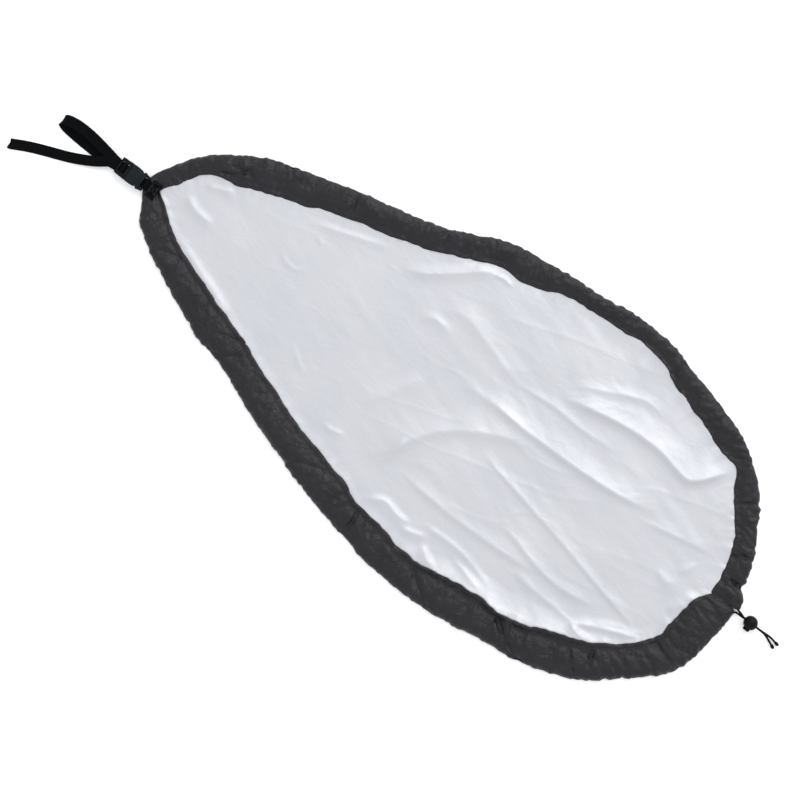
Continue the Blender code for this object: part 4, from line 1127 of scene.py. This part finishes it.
def make_tab_and_patch():
    """The folded webbing tab round the socket's bar, and the stitched patch over its ends."""
    rest = TIP_TOP + GAP + WEB_THICKNESS / 2
    top = BAR_RADIUS + GAP + WEB_THICKNESS / 2
    route = (
        (16.5, rest - 0.7 * MM), (12.0, rest - 0.2 * MM), (8.0, rest), (4.5, rest),
        (0.8, BAR.z - top), (-top / MM * 0.72, BAR.z - top * 0.72), (-top / MM, BAR.z),
        (-top / MM * 0.72, BAR.z + top * 0.72), (0.2, BAR.z + top), (3.6, BAR.z + top - 0.9 * MM),
        (6.6, rest + 2.5 * MM), (10.0, rest + 1.7 * MM), (16.5, rest + 0.9 * MM),
    )
    points = [np.array((BAR.x + along * MM, TETHER_Y, z)) for along, z in route]
    middle_line = smooth_route(points, 0.7 * MM)
    tab = ribbon("female_tab_webbing", middle_line, WEBBING)
    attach(tab, "cover")
    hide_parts("female_tab")

    rows, columns = 29, 37
    length, half = 14 * MM, 12.3 * MM
    shares = np.linspace(0, 1, rows)
    heights = through(((0, 3.2), (0.2, 2.5), (0.6, 1.7), (1, 1.4)), shares)
    skirts = through(((0, 0.3), (0.2, 0.2), (0.6, -0.6), (1, -1.8)), shares)
    ys = np.linspace(-1, 1, columns)
    grid = np.zeros((rows, columns, 3))
    for row, (share, high, skirt) in enumerate(zip(shares, heights, skirts)):
        x = BAR.x + 7 * MM + share * length
        middle = rest + high * MM + WEB_THICKNESS / 2 + GAP
        side = rest + skirt * MM + GAP
        y = ys * half
        fall = ramp(np.abs(y), 7.6 * MM, 10.6 * MM)
        z = middle * (1 - fall) + side * fall
        z -= 0.35 * MM * np.exp(-((np.abs(ys) - 0.86) / 0.06) ** 2)
        grid[row] = np.column_stack((np.full(columns, x), TETHER_Y + y, z))
    upper = grid + np.array((0, 0, 1.0 * MM))
    # rounded border
    border = np.minimum.outer(np.minimum(shares, 1 - shares), np.ones(columns))
    upper[..., 2] -= 0.45 * MM * (1 - ramp(np.minimum(border * 14, (1 - np.abs(ys)) * 12.3), 0, 0.9))
    rings = np.concatenate((upper, grid[:, ::-1]), 1)
    across = np.concatenate((ys, ys[::-1], ys[:1])) * half
    patch = outward(surface("anchor_patch_webbing", rings, PATCH_WEBBING, shares * length, across,
                            wrap=True, caps=True))
    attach(patch, "cover")
    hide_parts("anchor_patch")

    def over(share, side):
        """A point on the patch's top, from shares of its length and half-width."""
        row, column = share * (rows - 1), (side + 1) / 2 * (columns - 1)
        i, j = min(int(row), rows - 2), min(int(column), columns - 2)
        a, b = row - i, column - j
        return ((upper[i, j] * (1 - a) + upper[i + 1, j] * a) * (1 - b)
                + (upper[i, j + 1] * (1 - a) + upper[i + 1, j + 1] * a) * b)

    corners = ((0.12, -0.86), (0.88, -0.86), (0.88, 0.86), (0.12, 0.86), (0.12, -0.86))
    inner = ((0.2, -0.5), (0.8, 0.5), (0.8, -0.5), (0.2, 0.5), (0.2, -0.5))
    rows_of_stitches = []
    for path in (corners, inner):
        for first, second in zip(path, path[1:]):
            line = [over(first[0] + (second[0] - first[0]) * t, first[1] + (second[1] - first[1]) * t)
                    for t in np.linspace(0, 1, 14)]
            rows_of_stitches.append(stitches("stitch", line, np.tile((0, 0, 1.0), (14, 1)),
                                             DARK_THREAD, 1.7 * MM, 2.2 * MM, 0.27 * MM))
    sewing = joined("patch_stitches", rows_of_stitches)
    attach(sewing, "cover")


# ---- the buckle ----
HALF_THICK = 4.25
CAVITY_UP = 2.75
BUCKLE_HALF = 13.25


def plan_on_bar(points):
    return [tuple(on_bar(along, y, 0)[:2]) for along, y in points]


def mirrored(points):
    """A closed plan from the points of its +Y half."""
    return [*points, *[(along, -y) for along, y in points[::-1]]]


def slab(name, points, low, high, finish, bevel):
    return prism(name, plan_on_bar(points), BAR.z + low * MM, BAR.z + high * MM, finish, bevel * MM)


def bar(start, half, finish):
    ys = [-half, -half + 0.3, half - 0.3, half]
    return tube("bar", [on_bar(start + 1.5, y, 0) for y in ys],
                [BAR_RADIUS * share for share in (0.85, 1, 1, 0.85)], finish, 20)


def make_socket():
    """The buckle's female part: two shells with open side windows, and a bar for the tab."""
    half = BUCKLE_HALF
    shell = mirrored(((4.5, half - 1.4), (5.0, half - 0.5), (6.4, half), (7.7, half - 0.05),
                      (8.6, half - 2.0), (10.2, half - 2.75), (13.6, half - 2.75), (16.0, half - 1.9),
                      (17.0, half - 0.1), (18.0, half), (24.0, half), (26.6, half - 0.25),
                      (27.5, half - 0.9)))
    finish = SOCKET_PLASTIC
    pieces = [
        slab("upper shell", shell, CAVITY_UP, HALF_THICK, finish, 0.7),
        slab("lower shell", shell, -HALF_THICK, -CAVITY_UP, finish, 0.7),
        slab("end wall", mirrored(((4.55, half - 1.45), (5.1, half - 0.6), (6.4, half - 0.15),
                                   (7.5, half - 0.2))), -HALF_THICK + 0.1, HALF_THICK - 0.1, finish, 0.6),
    ]
    for turn in (-1, 1):
        wall = [(along, turn * y) for along, y in
                ((17.1, half - 2.4), (17.1, half - 0.1), (18.2, half - 0.05), (26.5, half - 0.2),
                 (27.4, half - 0.9), (27.4, half - 2.4))]
        pieces.append(slab("side wall", wall, -CAVITY_UP - 0.6, CAVITY_UP + 0.6, finish, 0.35))
        rail = [(along, turn * y) for along, y in
                ((-1.4, 7.65), (-1.5, 9.4), (-1.0, 11.0), (0.8, 12.0), (5.5, 12.4), (5.5, 7.65))]
        pieces.append(slab("rail", rail, -1.5, 1.5, finish, 0.5))
    pieces.append(bar(-1.5, 11.2, finish))
    # a shallow raised thumb panel and an arrow ridge on both faces
    for face in (1, -1):
        z = face * HALF_THICK
        low, high = sorted((z - face * 0.3, z + face * 0.22))
        pieces.append(slab("raised panel", mirrored(((19.6, 8.6), (20.4, 9.4), (25.2, 9.4), (26.0, 8.6))),
                           low, high, finish, 0.18))
        pieces.append(slab("arrow ridge", ((9.6, -2.2), (9.6, 2.2), (16.6, 1.0), (16.6, -1.0)),
                           low, high, finish, 0.18))
    socket = finished(joined("buckle_socket", pieces))
    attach(socket, "socket")
    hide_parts("buckle_female")


def make_plug():
    """The buckle's male part: a shoulder, a guide rod and a two-bar ladder for the webbing."""
    half, finish = BUCKLE_HALF, PLUG_PLASTIC
    pieces = [
        slab("shoulder", mirrored(((27.8, half - 0.5), (28.5, half), (30.6, half), (31.5, half - 0.4))),
             -HALF_THICK, HALF_THICK, finish, 0.8),
        slab("rod", mirrored(((9.6, 0.9), (10.2, 1.45), (11.2, 1.6), (28.6, 1.6))), -1.7, 1.7, finish, 0.4),
    ]
    for turn in (-1, 1):
        rail = [(along, turn * y) for along, y in
                ((30.6, 7.65), (30.6, half - 0.2), (33.0, half - 0.35), (37.0, half - 0.9),
                 (41.5, half - 0.7), (44.0, half - 0.9), (44.5, half - 1.8), (44.5, 8.0), (44.1, 7.65))]
        pieces.append(slab("rail", rail, -2.5, 2.5, finish, 0.7))
        for groove in range(4):
            start = 33.4 + groove * 2.2
            ridge = [(start, turn * (half - 1.6)), (start + 0.9, turn * (half - 1.6)),
                     (start + 0.9, turn * (half - 0.35)), (start, turn * (half - 0.35))]
            pieces.append(slab("grip ridge", ridge, -2.2, 2.2, finish, 0.25))
    for start in (35.0, 41.5):
        pieces.append(bar(start, 8.6, finish))
    plug = finished(joined("buckle_plug", pieces))
    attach(plug, "plug")
    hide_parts("buckle_male")


def make_prong(side, turn):
    """A sprung arm: slim where it bends, with a rounded barb for the window."""
    arm = ((27.5, 5.95), (27.5, 9.0), (24.5, 9.55), (20.5, 10.2), (17.2, 10.85), (16.75, 11.6),
           (16.6, 12.55), (15.6, 12.85), (14.2, 12.9), (12.0, 12.4), (10.2, 11.1), (8.9, 9.3),
           (8.75, 8.3), (9.4, 7.5), (10.4, 7.35), (13.0, 7.7), (16.7, 7.3), (22.0, 6.6))
    plan = [(along, turn * y) for along, y in arm]
    prong = finished(slab(f"prong_{side}_arm", plan, -2.35, 2.35, PLUG_PLASTIC, 0.5))
    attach(prong, f"{side}_prong")
    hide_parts(f"prong_{side}")


# ---- the stage ----
def make_stage():
    data = bpy.data.meshes.new("floor")
    reach, z = 4.0, -0.6 * MM
    corners = ((-reach, -reach), (reach, -reach), (reach, reach), (-reach, reach))
    data.from_pydata([(x, y, z) for x, y in corners], [], [(0, 1, 2, 3)])
    paint = Finish("floor paint", 0.9, Specular_IOR_Level=0.1, Emission_Color=(1, 1, 1, 1),
                   Emission_Strength=0.22)
    paint.colours(paint.noise(3, 2), (0.3, (0.9, 0.9, 0.9)), (0.7, (0.92, 0.92, 0.92)))
    add_object("floor", data, paint.material)

    world = bpy.data.worlds.new("studio")
    world.use_nodes = True
    world.node_tree.nodes["Background"].inputs["Color"].default_value = (0.97, 0.98, 1.0, 1)
    world.node_tree.nodes["Background"].inputs["Strength"].default_value = 1.0
    bpy.context.scene.world = world

    light = bpy.data.lights.new("key", "AREA")
    light.shape, light.size, light.energy = "SQUARE", 3.0, 52
    lamp = bpy.data.objects.new("key", light)
    bpy.context.scene.collection.objects.link(lamp)
    lamp.location = (0.25, 2.5, 2.1)
    lamp.rotation_euler = (Vector((0.05, 0, 0)) - lamp.location).to_track_quat("-Z", "Y").to_euler()


# ---- the whole ----
make_cords()
for side in ("left", "right"):
    make_casing(side)
make_panel()
make_tether()
make_tab_and_patch()
make_socket()
make_plug()
make_prong("left", -1)
make_prong("right", 1)
make_stage()
